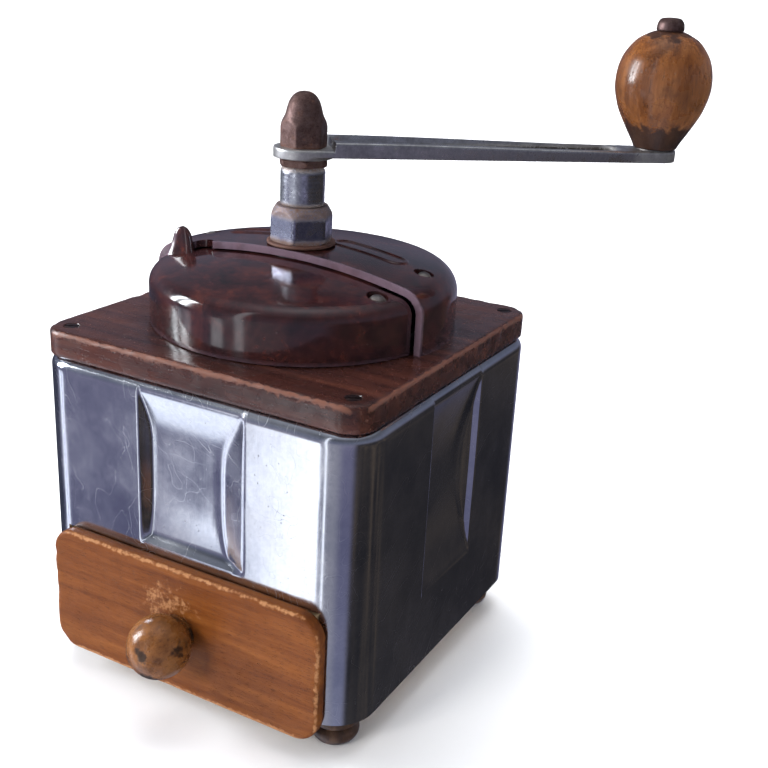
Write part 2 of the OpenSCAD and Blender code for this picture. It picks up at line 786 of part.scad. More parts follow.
module crank_arm() {
  web = 58.1;
  arm_low = 56.2;
  pocket_r0 = 6.6;
  pocket_r1 = 5.4;
  pocket_x0 = 16;
  pocket_x1 = 103.5;
  color(old_steel) translate([0, 0, plate_top]) rotate([0, 0, arm_turn]) difference() {
    union() {
      translate([0, 0, arm_z]) cylinder(r = hub_r, h = hub_top - arm_z);
      intersection() {
        linear_extrude(far) arm_plan(0);
        rotate([90, 0, 0]) linear_extrude(far, center = true) polygon([[0, arm_low], [60, arm_low],
          [arm_len + 10, arm_low + 0.6], [arm_len + 10, washer_z], [arm_len - 8, washer_z],
          [arm_len - 16, washer_z + 0.1], [14, 61.2], [11, 60.9], [9.4, 60], [8.9, hub_top], [0, hub_top]]);
      }
    }
    // recess between the rails
    translate([0, 0, web]) linear_extrude(far) union() {
      translate([pocket_x0, 0]) circle(pocket_r0);
      translate([pocket_x1, 0]) circle(pocket_r1);
      polygon([[pocket_x0, pocket_r0], [pocket_x1, pocket_r1], [pocket_x1, -pocket_r1],
        [pocket_x0, -pocket_r0]]);
    }
    // seat of the cap nut
    translate([0, 0, hub_top]) cylinder(r = 8.7, h = far);
    translate([0, 0, 50]) cube([square_w + 2 * fit, square_w + 2 * fit, 60], center = true);
    translate([arm_len, 0, 40]) cylinder(r = pin_r, h = 40);
  }
}

module cap_nut() {
  hex_h = 7.4;
  r = 8;
  color(brown_steel) translate([0, 0, plate_top + hub_top + press]) difference() {
    rotate([0, 0, -75]) intersection() {
      cylinder(r = r, h = cap_h, $fn = 6);
      rotate_extrude() polygon([[0, 0], [r + 0.05, 0], [r + 0.05, hex_h - 1.6], [r - 0.75, hex_h + 0.7],
        [6.3, hex_h + 2.6], [5.7, hex_h + 4.6], [4.9, hex_h + 6.9], [3.7, hex_h + 8.8], [2.2, cap_h - 0.3],
        [1, cap_h], [0, cap_h]]);
    }
    translate([0, 0, -1]) cylinder(r = shaft_neck_r + fit, h = 15);
    translate([0, 0, -1]) cylinder(r = shaft_r + 0.2, h = 4.4);
  }
}

module at_knob() {
  rotate([0, 0, arm_turn]) translate([arm_len, 0, plate_top]) children();
}

module knob_pin() {
  cap_z = knob_z + knob_h + 0.1;
  color(brown_steel) at_knob() {
    translate([0, 0, 56.9]) cylinder(r = pin_r - press, h = cap_z - 56.9);
    translate([0, 0, cap_z]) intersection() {
      cylinder(r = 4.6, h = 4.6);
      translate([0, 0, -1.3]) sphere(r = 5.7);
    }
  }
}

module knob_washer() {
  color(old_steel) at_knob() translate([0, 0, washer_z + press]) difference() {
    cylinder(r = 6.4, h = knob_z - washer_z - 0.12);
    translate([0, 0, -1]) cylinder(r = pin_r, h = 3);
  }
}

module crank_knob() {
  k = knob_r / 16.25;
  v = knob_h / 38.6;
  color(knob_wood) at_knob() translate([0, 0, knob_z]) difference() {
    rotate_extrude($fn = 96) polygon([[0, 0], [7 * k, 0], [7.6 * k, 0.5 * v], [8.6 * k, 2.6 * v],
      [9.9 * k, 4.9 * v], [11.3 * k, 7.2 * v], [12.7 * k, 9.6 * v], [14.05 * k, 12.4 * v],
      [15.1 * k, 15.2 * v], [15.85 * k, 18.2 * v], [16.22 * k, 21.2 * v], [16.2 * k, 23.8 * v],
      [15.8 * k, 26.4 * v], [15.05 * k, 29 * v], [13.95 * k, 31.4 * v], [12.4 * k, 33.7 * v],
      [10.5 * k, 35.7 * v], [8.1 * k, 37.3 * v], [6 * k, 38.2 * v], [5.2 * k, knob_h], [0, knob_h]]);
    translate([0, 0, -1]) cylinder(r = pin_r - press + fit, h = knob_h + 2);
  }
}

// ---------- drawer ----------

module drawer_front() {
  z0 = front_bottom;
  t = front_y1 - front_y0;
  color(drawer_wood) difference() {
    union() {
      translate([0, front_y1, z0 + front_h / 2]) rotate([90, 0, 0])
        rounded_block(front_half, front_h / 2, front_corner, t);
      translate([-box_half, front_y1 - eps, box_z0]) cube([2 * box_half, box_y0 - front_y1 + eps, box_h + 1]);
    }
    translate([0, far / 2, knob_mid_z]) rotate([90, 0, 0]) cylinder(r = 1.9, h = far);
  }
}

module drawer_sides() {
  color(plain_wood) difference() {
    for (s = [-1, 1]) translate([s * (box_half - box_t / 2), box_y0 + box_len / 2, box_z0 + box_h / 2])
      cube([box_t, box_len, box_h], center = true);
    at_nails() nail(0.03);
  }
}

module drawer_back() {
  color(plain_wood) difference() {
    translate([0, box_y0 + box_len - box_t / 2, box_z0 + box_h / 2])
      cube([2 * (box_half - box_t), box_t, box_h], center = true);
    at_nails() nail(0.03);
  }
}

module drawer_bottom() {
  color(plain_wood) translate([0, box_y0 + (box_len - box_t) / 2, box_z0 + 1.2])
    cube([2 * (box_half - box_t), box_len - box_t, 2.4], center = true);
}

module drawer_knob() {
  neck = 6.2;
  reach = front_y0 - ball_y;
  color(knob_wood) translate([0, front_y0, knob_mid_z]) rotate([90, 0, 0]) difference() {
    rotate_extrude($fn = 96) intersection() {
      union() {
        translate([0, reach]) circle(ball_r);
        square([neck, 5]);
      }
      square([30, 60]);
    }
    translate([0, 0, -1]) cylinder(r = 1.8, h = 13);
  }
}

module drawer_knob_screw() {
  color(old_steel) translate([0, box_y0 + press, knob_mid_z]) rotate([90, 0, 0]) difference() {
    union() {
      translate([0, 0, -2]) cylinder(r = 3.6, h = 2);
      translate([0, 0, -0.5]) cylinder(r = 1.8, h = 21.6);
    }
    translate([-far, -0.4, -2.5]) cube([2 * far, 0.8, 1.3]);
  }
}

// nail with its head outwards along -Z, grown by d
module nail(d) {
  translate([0, 0, -11.4 - d]) cylinder(r = 0.6 + d, h = 11.4 + d);
  translate([0, 0, -0.5 - d]) cylinder(r = 1.1 + d, h = 2 * d + 0.5);
}

module at_nails() {
  y = box_y0 + box_len - box_t / 2;
  for (s = [-1, 1], z = [6, 23]) translate([s * (box_half - 0.1), y, box_z0 + z]) rotate([0, s * 90, 0])
    children();
}

module drawer_nails() {
  color(old_steel) at_nails() nail(0);
}

// ---------- assembly ----------

module placed() {
  translate(-outline_middle) children();
}

module swung_lid() {
  placed() translate([lid_pivot_x, lid_pivot_y, 0]) rotate([0, 0, show_lid])
    translate([-lid_pivot_x, -lid_pivot_y, 0]) children();
}

module slid_drawer() {
  placed() translate([0, -show_drawer, 0]) children();
}

placed() body_shell();
placed() top_plate();
placed() top_plate_screws();
placed() corner_blocks();
placed() chute_board();
placed() drawer_runners();
placed() base_board();
placed() base_screws();
placed() feet();
placed() foot_screws();
placed() hopper_dome();
placed() dome_screws();
placed() burr_housing();
placed() housing_screws();
placed() outer_burr();
placed() upper_bridge();
placed() bridge_screws();
placed() lid_bracket();
placed() bracket_screw();
placed() lid_rivet();
placed() bearing_tube();
placed() nut_washer();
placed() bearing_nut();
placed() lower_bridge();
placed() lower_bush();
placed() lower_bridge_screws();
swung_lid() hopper_lid();
placed() crank_arm();
placed() cap_nut();
placed() knob_pin();
placed() knob_washer();
placed() adjusting_sleeve();
placed() lock_ring();
placed() drive_shaft();
placed() inner_burr();
placed() burr_washer();
placed() burr_nut();
placed() crank_knob();
slid_drawer() drawer_front();
slid_drawer() drawer_sides();
slid_drawer() drawer_back();
slid_drawer() drawer_bottom();
slid_drawer() drawer_knob();
slid_drawer() drawer_knob_screw();
slid_drawer() drawer_nails();
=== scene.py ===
"""Looks of the box coffee mill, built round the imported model.

Lengths are in millimetres from the drive shaft's axis, as in the CAD's modules, until to_frame makes them
metres in the frame.
"""
import math
from contextlib import contextmanager

import bmesh
import bpy
from mathutils import Matrix, Vector, noise


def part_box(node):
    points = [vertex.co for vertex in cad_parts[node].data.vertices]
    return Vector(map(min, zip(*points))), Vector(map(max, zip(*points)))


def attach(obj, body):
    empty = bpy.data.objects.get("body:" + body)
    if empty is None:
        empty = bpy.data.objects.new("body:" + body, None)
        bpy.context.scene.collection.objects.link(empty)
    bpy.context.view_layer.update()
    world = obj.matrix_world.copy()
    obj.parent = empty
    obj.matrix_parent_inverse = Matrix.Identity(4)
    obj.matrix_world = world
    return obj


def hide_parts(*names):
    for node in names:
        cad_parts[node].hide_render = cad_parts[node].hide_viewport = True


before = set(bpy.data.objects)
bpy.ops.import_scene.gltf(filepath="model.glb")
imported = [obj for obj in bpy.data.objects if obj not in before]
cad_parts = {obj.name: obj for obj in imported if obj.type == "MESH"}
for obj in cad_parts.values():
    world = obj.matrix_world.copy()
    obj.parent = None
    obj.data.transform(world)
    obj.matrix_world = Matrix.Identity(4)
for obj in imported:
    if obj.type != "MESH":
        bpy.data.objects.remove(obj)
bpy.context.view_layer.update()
MM = 0.001
QUARTER = math.radians(90)

shaft_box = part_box("drive_shaft")
SHAFT = Vector(((shaft_box[0].x + shaft_box[1].x) / 2, (shaft_box[0].y + shaft_box[1].y) / 2, 0)) / MM


def box_mm(node):
    """Lowest and highest corner of a CAD node, from the shaft's axis, in millimetres."""
    low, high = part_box(node)
    return low / MM - SHAFT, high / MM - SHAFT


def to_frame(p):
    return (Vector(p) + SHAFT) * MM


def from_frame(p):
    return p / MM - SHAFT


# ---------- sizes, from the frame ----------

case_low, case_high = box_mm("body_shell")
plate_low, plate_high = box_mm("top_plate")
front_low, front_high = box_mm("drawer_front")
TOP = plate_high.z
CASE_HALF = case_high.x
CASE_CORNER = 14.5
DOME_R = box_mm("hopper_dome")[1].x


# ---------- mesh helpers ----------

@contextmanager
def editing(mesh):
    bm = bmesh.new()
    bm.from_mesh(mesh)
    yield bm
    bm.to_mesh(mesh)
    bm.free()


def mesh_piece(name, verts, faces):
    """A smooth-shaded object from points in millimetres."""
    mesh = bpy.data.meshes.new(name)
    mesh.from_pydata([to_frame(v) for v in verts], [], faces)
    mesh.validate()
    with editing(mesh) as bm:
        bmesh.ops.recalc_face_normals(bm, faces=bm.faces)
    mesh.polygons.foreach_set("use_smooth", [True] * len(mesh.polygons))
    obj = bpy.data.objects.new(name, mesh)
    bpy.context.scene.collection.objects.link(obj)
    return obj


def grid_faces(rows, cols):
    """Quads between closed rows of points."""
    return [
        (r * cols + c, r * cols + (c + 1) % cols, (r + 1) * cols + (c + 1) % cols, (r + 1) * cols + c)
        for r in range(rows - 1)
        for c in range(cols)
    ]


def loft(name, rings, cap_first=False, cap_last=False):
    """Skin over closed rings with the same number of points; a cap is a fan round the ring's middle."""
    cols = len(rings[0])
    verts = [p for ring in rings for p in ring]
    faces = grid_faces(len(rings), cols)
    for wanted, row in ((cap_first, 0), (cap_last, len(rings) - 1)):
        if wanted:
            centre = sum((Vector(p) for p in rings[row]), Vector()) / cols
            verts.append(centre)
            hub = len(verts) - 1
            faces += [(row * cols + c, row * cols + (c + 1) % cols, hub) for c in range(cols)]
    return mesh_piece(name, verts, faces)


def spline(points, steps=6):
    """Catmull-Rom curve through the points."""
    pts = [Vector(p) for p in points]
    pts = [2 * pts[0] - pts[1]] + pts + [2 * pts[-1] - pts[-2]]
    out = []
    for i in range(1, len(pts) - 2):
        for k in range(steps):
            t = k / steps
            a, b, c, d = pts[i - 1:i + 3]
            out.append(0.5 * (2 * b + (c - a) * t + (2 * a - 5 * b + 4 * c - d) * t * t
                              + (3 * b - a - 3 * c + d) * t ** 3))
    out.append(pts[-2])
    return out


def lathe(name, profile, centre=(0, 0), segments=128, radius_at=None):
    """Turned piece: profile is a list of (radius, z); both ends are closed. radius_at may reshape a point."""
    rings = []
    for r, z in profile:
        ring = []
        for k in range(segments):
            a = math.tau * k / segments
            rr = radius_at(r, z, a) if radius_at else r
            ring.append((centre[0] + rr * math.cos(a), centre[1] + rr * math.sin(a), z))
        rings.append(ring)
    return loft(name, rings, cap_first=True, cap_last=True)


def above_plate(name, profile, centre=(0, 0), segments=128, radius_at=None):
    """Turned piece whose heights are counted from the top plate."""
    return lathe(name, [(r, TOP + z) for r, z in profile], centre, segments, radius_at)


def span_above_plate(node):
    """Lowest and highest point of a CAD node, counted from the top plate."""
    return [p.z - TOP for p in box_mm(node)]


def wobble(p, scale, seed=0.0):
    """Smooth noise in -1..1 at a point in millimetres; scale is the feature size."""
    return noise.noise(Vector((p[0] / scale + seed, p[1] / scale - seed, p[2] / scale + 2 * seed)))


def soft_min(a, b, k):
    """The smaller of two numbers, rounded off where they are within k of each other."""
    h = max(k - abs(a - b), 0) / k
    return min(a, b) - h * h * k / 4


def soft_max(a, b, k):
    return -soft_min(-a, -b, k)


def smoothstep(lo, hi, x):
    t = min(max((x - lo) / (hi - lo), 0), 1)
    return t * t * (3 - 2 * t)


def paint(obj, name, value):
    """Per-point number for the material, from a function of the point in millimetres."""
    layer = obj.data.attributes.new(name, "FLOAT", "POINT")
    layer.data.foreach_set("value", [value(from_frame(v.co)) for v in obj.data.vertices])


def square_ring(half_x, half_y, corner, flats, arcs):
    """Rounded rectangle: flats and arcs are fractions in 0..1 along each flat side and each corner."""
    ring = []
    for quarter in range(4):
        turn = Matrix.Rotation(QUARTER * quarter, 2)
        along, out = (half_x, half_y) if quarter % 2 == 0 else (half_y, half_x)
        for f in flats:
            ring.append(turn @ Vector(((along - corner) * (2 * f - 1), -out)))
        for f in arcs:
            a = QUARTER * f
            ring.append(turn @ Vector((along - corner + corner * math.sin(a),
                                       -out + corner * (1 - math.cos(a)))))
    return ring


def even(n):
    """n + 1 fractions from 0 to 1."""
    return [i / n for i in range(n + 1)]


def place(obj, body, material, slot, *nodes):
    """Gives a finished piece its material and body, and hides the CAD nodes it stands for. slot is not used.
    """
    obj.data.materials.clear()
    obj.data.materials.append(material)
    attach(obj, body)
    if nodes:
        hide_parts(*nodes)
    return obj


def cut(obj, tool):
    """Takes the tool away from obj for good."""
    mod = obj.modifiers.new("cut", "BOOLEAN")
    mod.operation = "DIFFERENCE"
    mod.solver = "EXACT"
    mod.object = tool
    bake_modifiers(obj)
    bpy.data.objects.remove(tool)


def bake_modifiers(obj):
    graph = bpy.context.evaluated_depsgraph_get()
    made = bpy.data.meshes.new_from_object(obj.evaluated_get(graph))
    obj.modifiers.clear()
    old = obj.data
    obj.data = made
    bpy.data.meshes.remove(old)


def add_wall(obj, thickness, axis):
    """Adds the wall on the inside of a skin, which recalc may have left facing in on an open shell."""
    outermost = max(obj.data.polygons, key=lambda p: getattr(p.center, axis))
    if getattr(outermost.normal, axis) < 0:
        obj.data.flip_normals()
    solid = obj.modifiers.new("wall", "SOLIDIFY")
    solid.thickness = thickness * MM
    solid.offset = -1


def add_bevel(obj, width, segments, degrees):
    bevel = obj.modifiers.new("bevel", "BEVEL")
    bevel.width = width * MM
    bevel.segments = segments
    bevel.limit_method = "ANGLE"
    bevel.angle_limit = math.radians(degrees)


def crease(obj, degrees):
    """Smooth shading that keeps edges sharper than the angle."""
    mesh = obj.data
    mesh.polygons.foreach_set("use_smooth", [True] * len(mesh.polygons))
    mesh.set_sharp_from_angle(angle=math.radians(degrees))


# ---------- material helpers ----------

class Nodes:
    """A short way to write shader nodes."""

    def __init__(self, tree):
        self.tree = tree
        tree.nodes.clear()

    def node(self, kind, inputs=(), **settings):
        made = self.tree.nodes.new(kind)
        for key, value in settings.items():
            setattr(made, key, value)
        for key, value in dict(inputs).items():
            if isinstance(value, bpy.types.NodeSocket):
                self.tree.links.new(value, made.inputs[key])
            else:
                made.inputs[key].default_value = value
        return made

    def math(self, operation, a, b=0.0, clamp=False):
        return self.node("ShaderNodeMath", {0: a, 1: b}, operation=operation, use_clamp=clamp).outputs[0]

    def scaled(self, value, factor):
        return self.math("MULTIPLY", value, factor)

    def plus(self, value, other, factor=1.0, clamp=False):
        """The value plus the other one times the factor."""
        return self.math("ADD", value, other if factor == 1.0 else self.scaled(other, factor), clamp)

    def span(self, value, low, high, to_low=0.0, to_high=1.0):
        """The value's range low..high spread over to_low..to_high, with soft ends."""
        return self.node("ShaderNodeMapRange", {
            "Value": value, "From Min": low, "From Max": high, "To Min": to_low, "To Max": to_high,
        }, interpolation_type="SMOOTHSTEP").outputs[0]

    def ramp(self, fac, stops):
        made = self.node("ShaderNodeValToRGB", {"Fac": fac})
        band = made.color_ramp
        while len(band.elements) < len(stops):
            band.elements.new(1.0)
        for element, (at, colour) in zip(band.elements, stops):
            element.position = at
            element.color = (*colour, 1)
        return made.outputs["Color"]

    def mix(self, fac, a, b):
        """Colour a where fac is 0, b where it is 1; sockets 6, 7 and 2 are the mix node's colour ones."""
        def colour(c):
            return c if isinstance(c, bpy.types.NodeSocket) else (*c, 1)
        return self.node("ShaderNodeMix", {0: fac, 6: colour(a), 7: colour(b)}, data_type="RGBA").outputs[2]


class Look(Nodes):
    """A material. Its textures run in the object's own space, in metres."""

    def __init__(self, name, metallic=0.0, coat=0.0, coat_roughness=0.1, ior=1.5):
        self.material = bpy.data.materials.new(name)
        self.material.use_nodes = True
        super().__init__(self.material.node_tree)
        out = self.tree.nodes.new("ShaderNodeOutputMaterial")
        self.shader = self.tree.nodes.new("ShaderNodeBsdfPrincipled")
        self.tree.links.new(self.shader.outputs[0], out.inputs["Surface"])
        self.shader.inputs["Metallic"].default_value = metallic
        self.shader.inputs["Coat Weight"].default_value = coat
        self.shader.inputs["Coat Roughness"].default_value = coat_roughness
        self.shader.inputs["IOR"].default_value = ior
        self.coords = self.tree.nodes.new("ShaderNodeTexCoord").outputs["Object"]
        self.height = None

    def stretched(self, stretch=(1, 1, 1), turn=(0, 0, 0), shift=(0, 0, 0)):
        turned = self.node("ShaderNodeMapping", {"Vector": self.coords, "Rotation": turn, "Location": shift})
        return self.node("ShaderNodeMapping", {"Vector": turned.outputs[0], "Scale": stretch}).outputs[0]

    def noise(self, size, stretch=(1, 1, 1), turn=(0, 0, 0), detail=4, rough=0.55, warp=0.0,
              shift=(0, 0, 0)):
        """Noise with features of about size millimetres, drawn out along axes whose stretch is under 1."""
        return self.node("ShaderNodeTexNoise", {
            "Vector": self.stretched(stretch, turn, shift), "Scale": 1 / (size * MM), "Detail": detail,
            "Roughness": rough, "Distortion": warp,
        }).outputs["Fac"]

    def cells(self, size, shift=(0, 0, 0)):
        inputs = {"Vector": self.stretched(shift=shift), "Scale": 1 / (size * MM)}
        return self.node("ShaderNodeTexVoronoi", inputs).outputs["Distance"]

    def attribute(self, name):
        return self.node("ShaderNodeAttribute", attribute_name=name).outputs["Fac"]

    def raise_by(self, value, depth):
        """Adds value times depth millimetres to the surface relief."""
        part = self.scaled(value, depth)
        self.height = part if self.height is None else self.plus(self.height, part)

    def finish(self, colour, roughness):
        self.tree.links.new(colour, self.shader.inputs["Base Color"])
        self.tree.links.new(roughness, self.shader.inputs["Roughness"])
        if self.height is not None:
            bump = self.node("ShaderNodeBump", {"Height": self.height, "Distance": MM, "Strength": 1.0})
            self.tree.links.new(bump.outputs[0], self.shader.inputs["Normal"])
        return self.material


def scratch_lines(look, size, turn, width, length=14, shift=(0, 0, 0)):
    """Thin broken lines, as a mask: narrow bands of a noise drawn out along one direction."""
    drawn = look.noise(size, (1, 1, 1 / length), turn, detail=1, rough=0.3, shift=shift)
    near = look.math("ABSOLUTE", look.math("SUBTRACT", drawn, 0.5))
    line = look.span(near, 0, width, 1, 0)
    gaps = look.span(look.noise(size * 6, shift=shift), 0.47, 0.58)
    return look.math("MULTIPLY", line, gaps)


# ---------- materials ----------

def pressed_metal(name):
    """Polished plate, lightly brushed up and down, with scratches, pits and a grey bloom."""
    look = Look(name, metallic=1.0)
    bloom = look.noise(26, detail=6, rough=0.62)
    fine = look.noise(1.6, detail=4, rough=0.7)
    brushed = look.noise(0.5, (1, 1, 0.03), detail=3, rough=0.6)
    pits = look.span(look.cells(3.1), 0.0, 0.12, 1, 0)
    pit_area = look.span(look.noise(16, shift=(0.3, 0.1, 0.2)), 0.45, 0.62)
    pits = look.scaled(pits, pit_area)
    steep = scratch_lines(look, 5, (0.35, 0.35, 0.2), 0.0025, 40)
    level = scratch_lines(look, 7, (1.2, 1.1, 0.4), 0.002, 50, (0.2, 0.4, 0))
    long = scratch_lines(look, 9, (0.9, 0.2, 1.3), 0.002, 60, (0.7, 0.1, 0.3))
    lines = look.math("MAXIMUM", steep, look.math("MAXIMUM", level, long))
    colour = look.ramp(bloom, [(0.3, (0.50, 0.53, 0.60)), (0.52, (0.66, 0.68, 0.73)),
                               (0.75, (0.74, 0.75, 0.78))])
    colour = look.mix(look.span(fine, 0.35, 0.7, 0, 0.25), colour, (0.42, 0.45, 0.53))
    colour = look.mix(look.scaled(pits, 0.75), colour, (0.20, 0.19, 0.20))
    colour = look.mix(look.scaled(lines, 0.25), colour, (0.85, 0.86, 0.9))
    rough = look.plus(look.span(bloom, 0.3, 0.7, 0.09, 0.19), brushed, 0.05)
    rough = look.plus(rough, look.plus(lines, pits), 0.16, clamp=True)
    look.raise_by(look.noise(9, detail=2), 0.022)
    look.raise_by(brushed, 0.0016)
    look.raise_by(lines, -0.002)
    look.raise_by(pits, -0.02)
    return look.finish(colour, rough)


def wood(name, dark, mid, light, grain=(0.05, 1, 1), size=1.6, gloss=0.35, worn=None, blotch=0.35, pore=0.4,
         blotch_colour=(0.03, 0.018, 0.012), coat=0.25, ior=1.5, uneven=0.05):
    """Varnished wood. grain is the stretch that draws the figure out; worn is the colour laid on where the
    points are painted.
    """
    look = Look(name, coat=coat, coat_roughness=0.16, ior=ior)
    figure = look.noise(size * 3, grain, detail=6, rough=0.62, warp=0.25)
    fine = look.noise(size * 0.45, grain, detail=4, rough=0.7)
    ring = look.noise(size * 9, grain, detail=3, warp=0.6, shift=(0.1, 0.2, 0.3))
    pores = look.span(look.noise(size * 0.32, tuple(g * 1.6 for g in grain), detail=2, shift=(0.5, 0, 0.2)),
                      0.60, 0.70)
    tone = look.plus(look.scaled(figure, 0.5), look.plus(look.scaled(fine, 0.22), ring, 0.28))
    colour = look.ramp(tone, [(0.36, dark), (0.5, mid), (0.64, light)])
    stain = look.span(look.noise(15, detail=5, rough=0.6, shift=(0.9, 0.4, 0)), 0.52, 0.72, 0, blotch)
    colour = look.mix(stain, colour, blotch_colour)
    colour = look.mix(look.scaled(pores, pore), colour, tuple(c * 0.35 for c in dark))
    rough = look.span(look.noise(7, detail=5), 0.3, 0.7, gloss - 0.07, gloss + 0.12)
    if worn:
        ragged = look.math("SUBTRACT", look.noise(2.2, detail=6, rough=0.7), 0.5)
        bare = look.span(look.plus(look.attribute("wear_and_highlight"), ragged, 1.5), 0.42, 0.72)
        colour = look.mix(look.scaled(bare, 0.85), colour, worn)
        rough = look.plus(rough, bare, 0.22, clamp=True)
        look.raise_by(bare, -0.05)
    look.raise_by(fine, 0.03)
    look.raise_by(pores, -0.05)
    look.raise_by(look.noise(12, detail=3), uneven)
    return look.finish(colour, rough)


def moulding(name):
    """Glossy dark maroon moulded resin with a faint red and black mottle, fine scratches, and a lighter colour
    where the points are painted: worn at the feet, and a painted highlight on the bridge's lip and the fin's
    left edge.
    """
    look = Look(name, coat=0.3, coat_roughness=0.05, ior=1.58)
    cloud = look.noise(11, detail=7, rough=0.68, warp=0.8)
    fleck = look.noise(2.4, detail=5, rough=0.75, shift=(0.3, 0.6, 0.1))
    tone = look.plus(look.scaled(cloud, 0.65), fleck, 0.35)
    colour = look.ramp(tone, [(0.36, (0.008, 0.005, 0.006)), (0.5, (0.024, 0.008, 0.009)),
                              (0.62, (0.052, 0.014, 0.011)), (0.74, (0.11, 0.032, 0.016))])
    lines = scratch_lines(look, 3, (0.5, 1.1, 0.3), 0.004)
    # lighter colour of the painted points: a worn strip at the feet of dome and lid, and a painted highlight
    # along the bridge's lip and the fin's lit left edge
    edge = look.scaled(look.attribute("wear_and_highlight"), look.span(look.noise(6, detail=3), 0.2, 0.6, 0.6, 1))
    colour = look.mix(look.scaled(edge, 0.7), colour, (0.19, 0.13, 0.17))
    specks = look.span(look.cells(4.2, (0.1, 0.7, 0.3)), 0.0, 0.05, 1, 0)
    colour = look.mix(look.scaled(specks, 0.5), colour, (0.5, 0.42, 0.38))
    rough = look.span(look.noise(5, detail=6, rough=0.7), 0.3, 0.72, 0.09, 0.2)
    rough = look.plus(rough, look.plus(lines, edge, 0.4), 0.14, clamp=True)
    look.raise_by(look.noise(14, detail=2), 0.03)
    look.raise_by(look.noise(0.6, detail=3), 0.0022)
    look.raise_by(lines, -0.004)
    return look.finish(colour, rough)


def old_metal(name, base, tarnish, rust=None, rust_amount=0.4, shine=0.22, size=4.0, pitting=0.5):
    """Bright or dull old metal with tarnish in clouds, and its third colour, rust on most, in patches and
    where the points are painted.
    """
    look = Look(name, metallic=1.0)
    cloud = look.noise(size, detail=7, rough=0.66)
    speck = look.noise(size * 0.22, detail=4, rough=0.7, shift=(0.4, 0.2, 0.6))
    tone = look.plus(look.scaled(cloud, 0.6), speck, 0.4)
    colour = look.ramp(tone, [(0.38, tarnish), (0.52, tuple((a + b) / 2 for a, b in zip(base, tarnish))),
                              (0.64, base)])
    rough = look.span(tone, 0.35, 0.68, shine + 0.25, shine)
    pits = look.span(look.cells(size * 0.35), 0.0, 0.16, pitting, 0)
    colour = look.mix(look.scaled(pits, 0.8), colour, tuple(c * 0.3 for c in tarnish))
    if rust:
        less = rust_amount * 0.3
        patch = look.noise(size * 1.4, detail=6, rough=0.7, shift=(0, 0.8, 0.3))
        patch = look.span(patch, 0.68 - less, 0.86 - less)
        patch = look.plus(patch, look.attribute("wear_and_highlight"), clamp=True)
        patch = look.math("MULTIPLY", patch, look.span(speck, 0.3, 0.5), clamp=True)
        colour = look.mix(patch, colour, rust)
        rough = look.plus(rough, patch, 0.35, clamp=True)
        look.raise_by(patch, 0.03)
        look.tree.links.new(look.span(patch, 0, 1, 1, 0.25), look.shader.inputs["Metallic"])
    look.raise_by(pits, -0.05)
    look.raise_by(cloud, 0.05)
    return look.finish(colour, rough)


def bare_wood(name):
    """Pale unvarnished wood of the inner parts."""
    tint = (0.55, 0.38, 0.22)
    dark = tuple(c * 0.62 for c in tint)
    light = tuple(min(c * 1.25, 1) for c in tint)
    return wood(name, dark, tint, light, (1, 0.06, 1), 2.2, 0.62, None, 0.25, 0.35, (0.16, 0.09, 0.05), 0.0)


METAL = pressed_metal("pressed_metal")
PLATE_WOOD = wood(
    "plate_wood", (0.017, 0.006, 0.005), (0.044, 0.014, 0.010), (0.085, 0.028, 0.017), grain=(0.05, 1, 1),
    size=1.5, gloss=0.24, worn=(0.15, 0.055, 0.032), blotch=0.5, pore=0.5, blotch_colour=(0.012, 0.006, 0.005),
    coat=0.3, ior=1.45, uneven=0.03)
DRAWER_WOOD = wood(
    "drawer_wood", (0.100, 0.026, 0.005), (0.158, 0.045, 0.008), (0.225, 0.073, 0.014), grain=(0.05, 1, 0.9),
    size=0.8, gloss=0.44, worn=(0.42, 0.20, 0.085), pore=0.6, blotch_colour=(0.075, 0.022, 0.006), coat=0.04,
    ior=1.28)
BALL_WOOD = wood(
    "ball_wood", (0.048, 0.016, 0.005), (0.18, 0.067, 0.018), (0.29, 0.125, 0.04), grain=(1, 0.12, 1),
    gloss=0.26, worn=(0.010, 0.006, 0.004), blotch=0.8, pore=0.6, blotch_colour=(0.010, 0.006, 0.004), ior=1.4)
KNOB_WOOD = wood(
    "knob_wood", (0.050, 0.015, 0.005), (0.155, 0.052, 0.013), (0.27, 0.108, 0.033), grain=(1, 1, 0.07),
    size=1.7, gloss=0.26, worn=(0.016, 0.006, 0.004), blotch=0.7, pore=0.75,
    blotch_colour=(0.022, 0.009, 0.005), coat=0.3, ior=1.42)
FOOT_WOOD = wood(
    "foot_wood", (0.025, 0.012, 0.008), (0.065, 0.029, 0.015), (0.13, 0.068, 0.036), grain=(1, 1, 0.1),
    size=1.4, gloss=0.45, worn=(0.22, 0.13, 0.07), blotch=0.5, pore=0.5)
INNER_WOOD = bare_wood("inner_wood")
MOULDING = moulding("moulding")
# base colour, tarnish and rust, then rust amount, shine, cloud size and pitting
CHROME = old_metal(
    "worn_chrome", (0.52, 0.54, 0.62), (0.17, 0.18, 0.27), (0.16, 0.085, 0.05), 0.22, 0.15, 3.2, 0.5)
COLLAR = old_metal(
    "collar_chrome", (0.70, 0.72, 0.76), (0.36, 0.37, 0.42), (0.18, 0.10, 0.06), 0.2, 0.16, 3.0, 0.4)
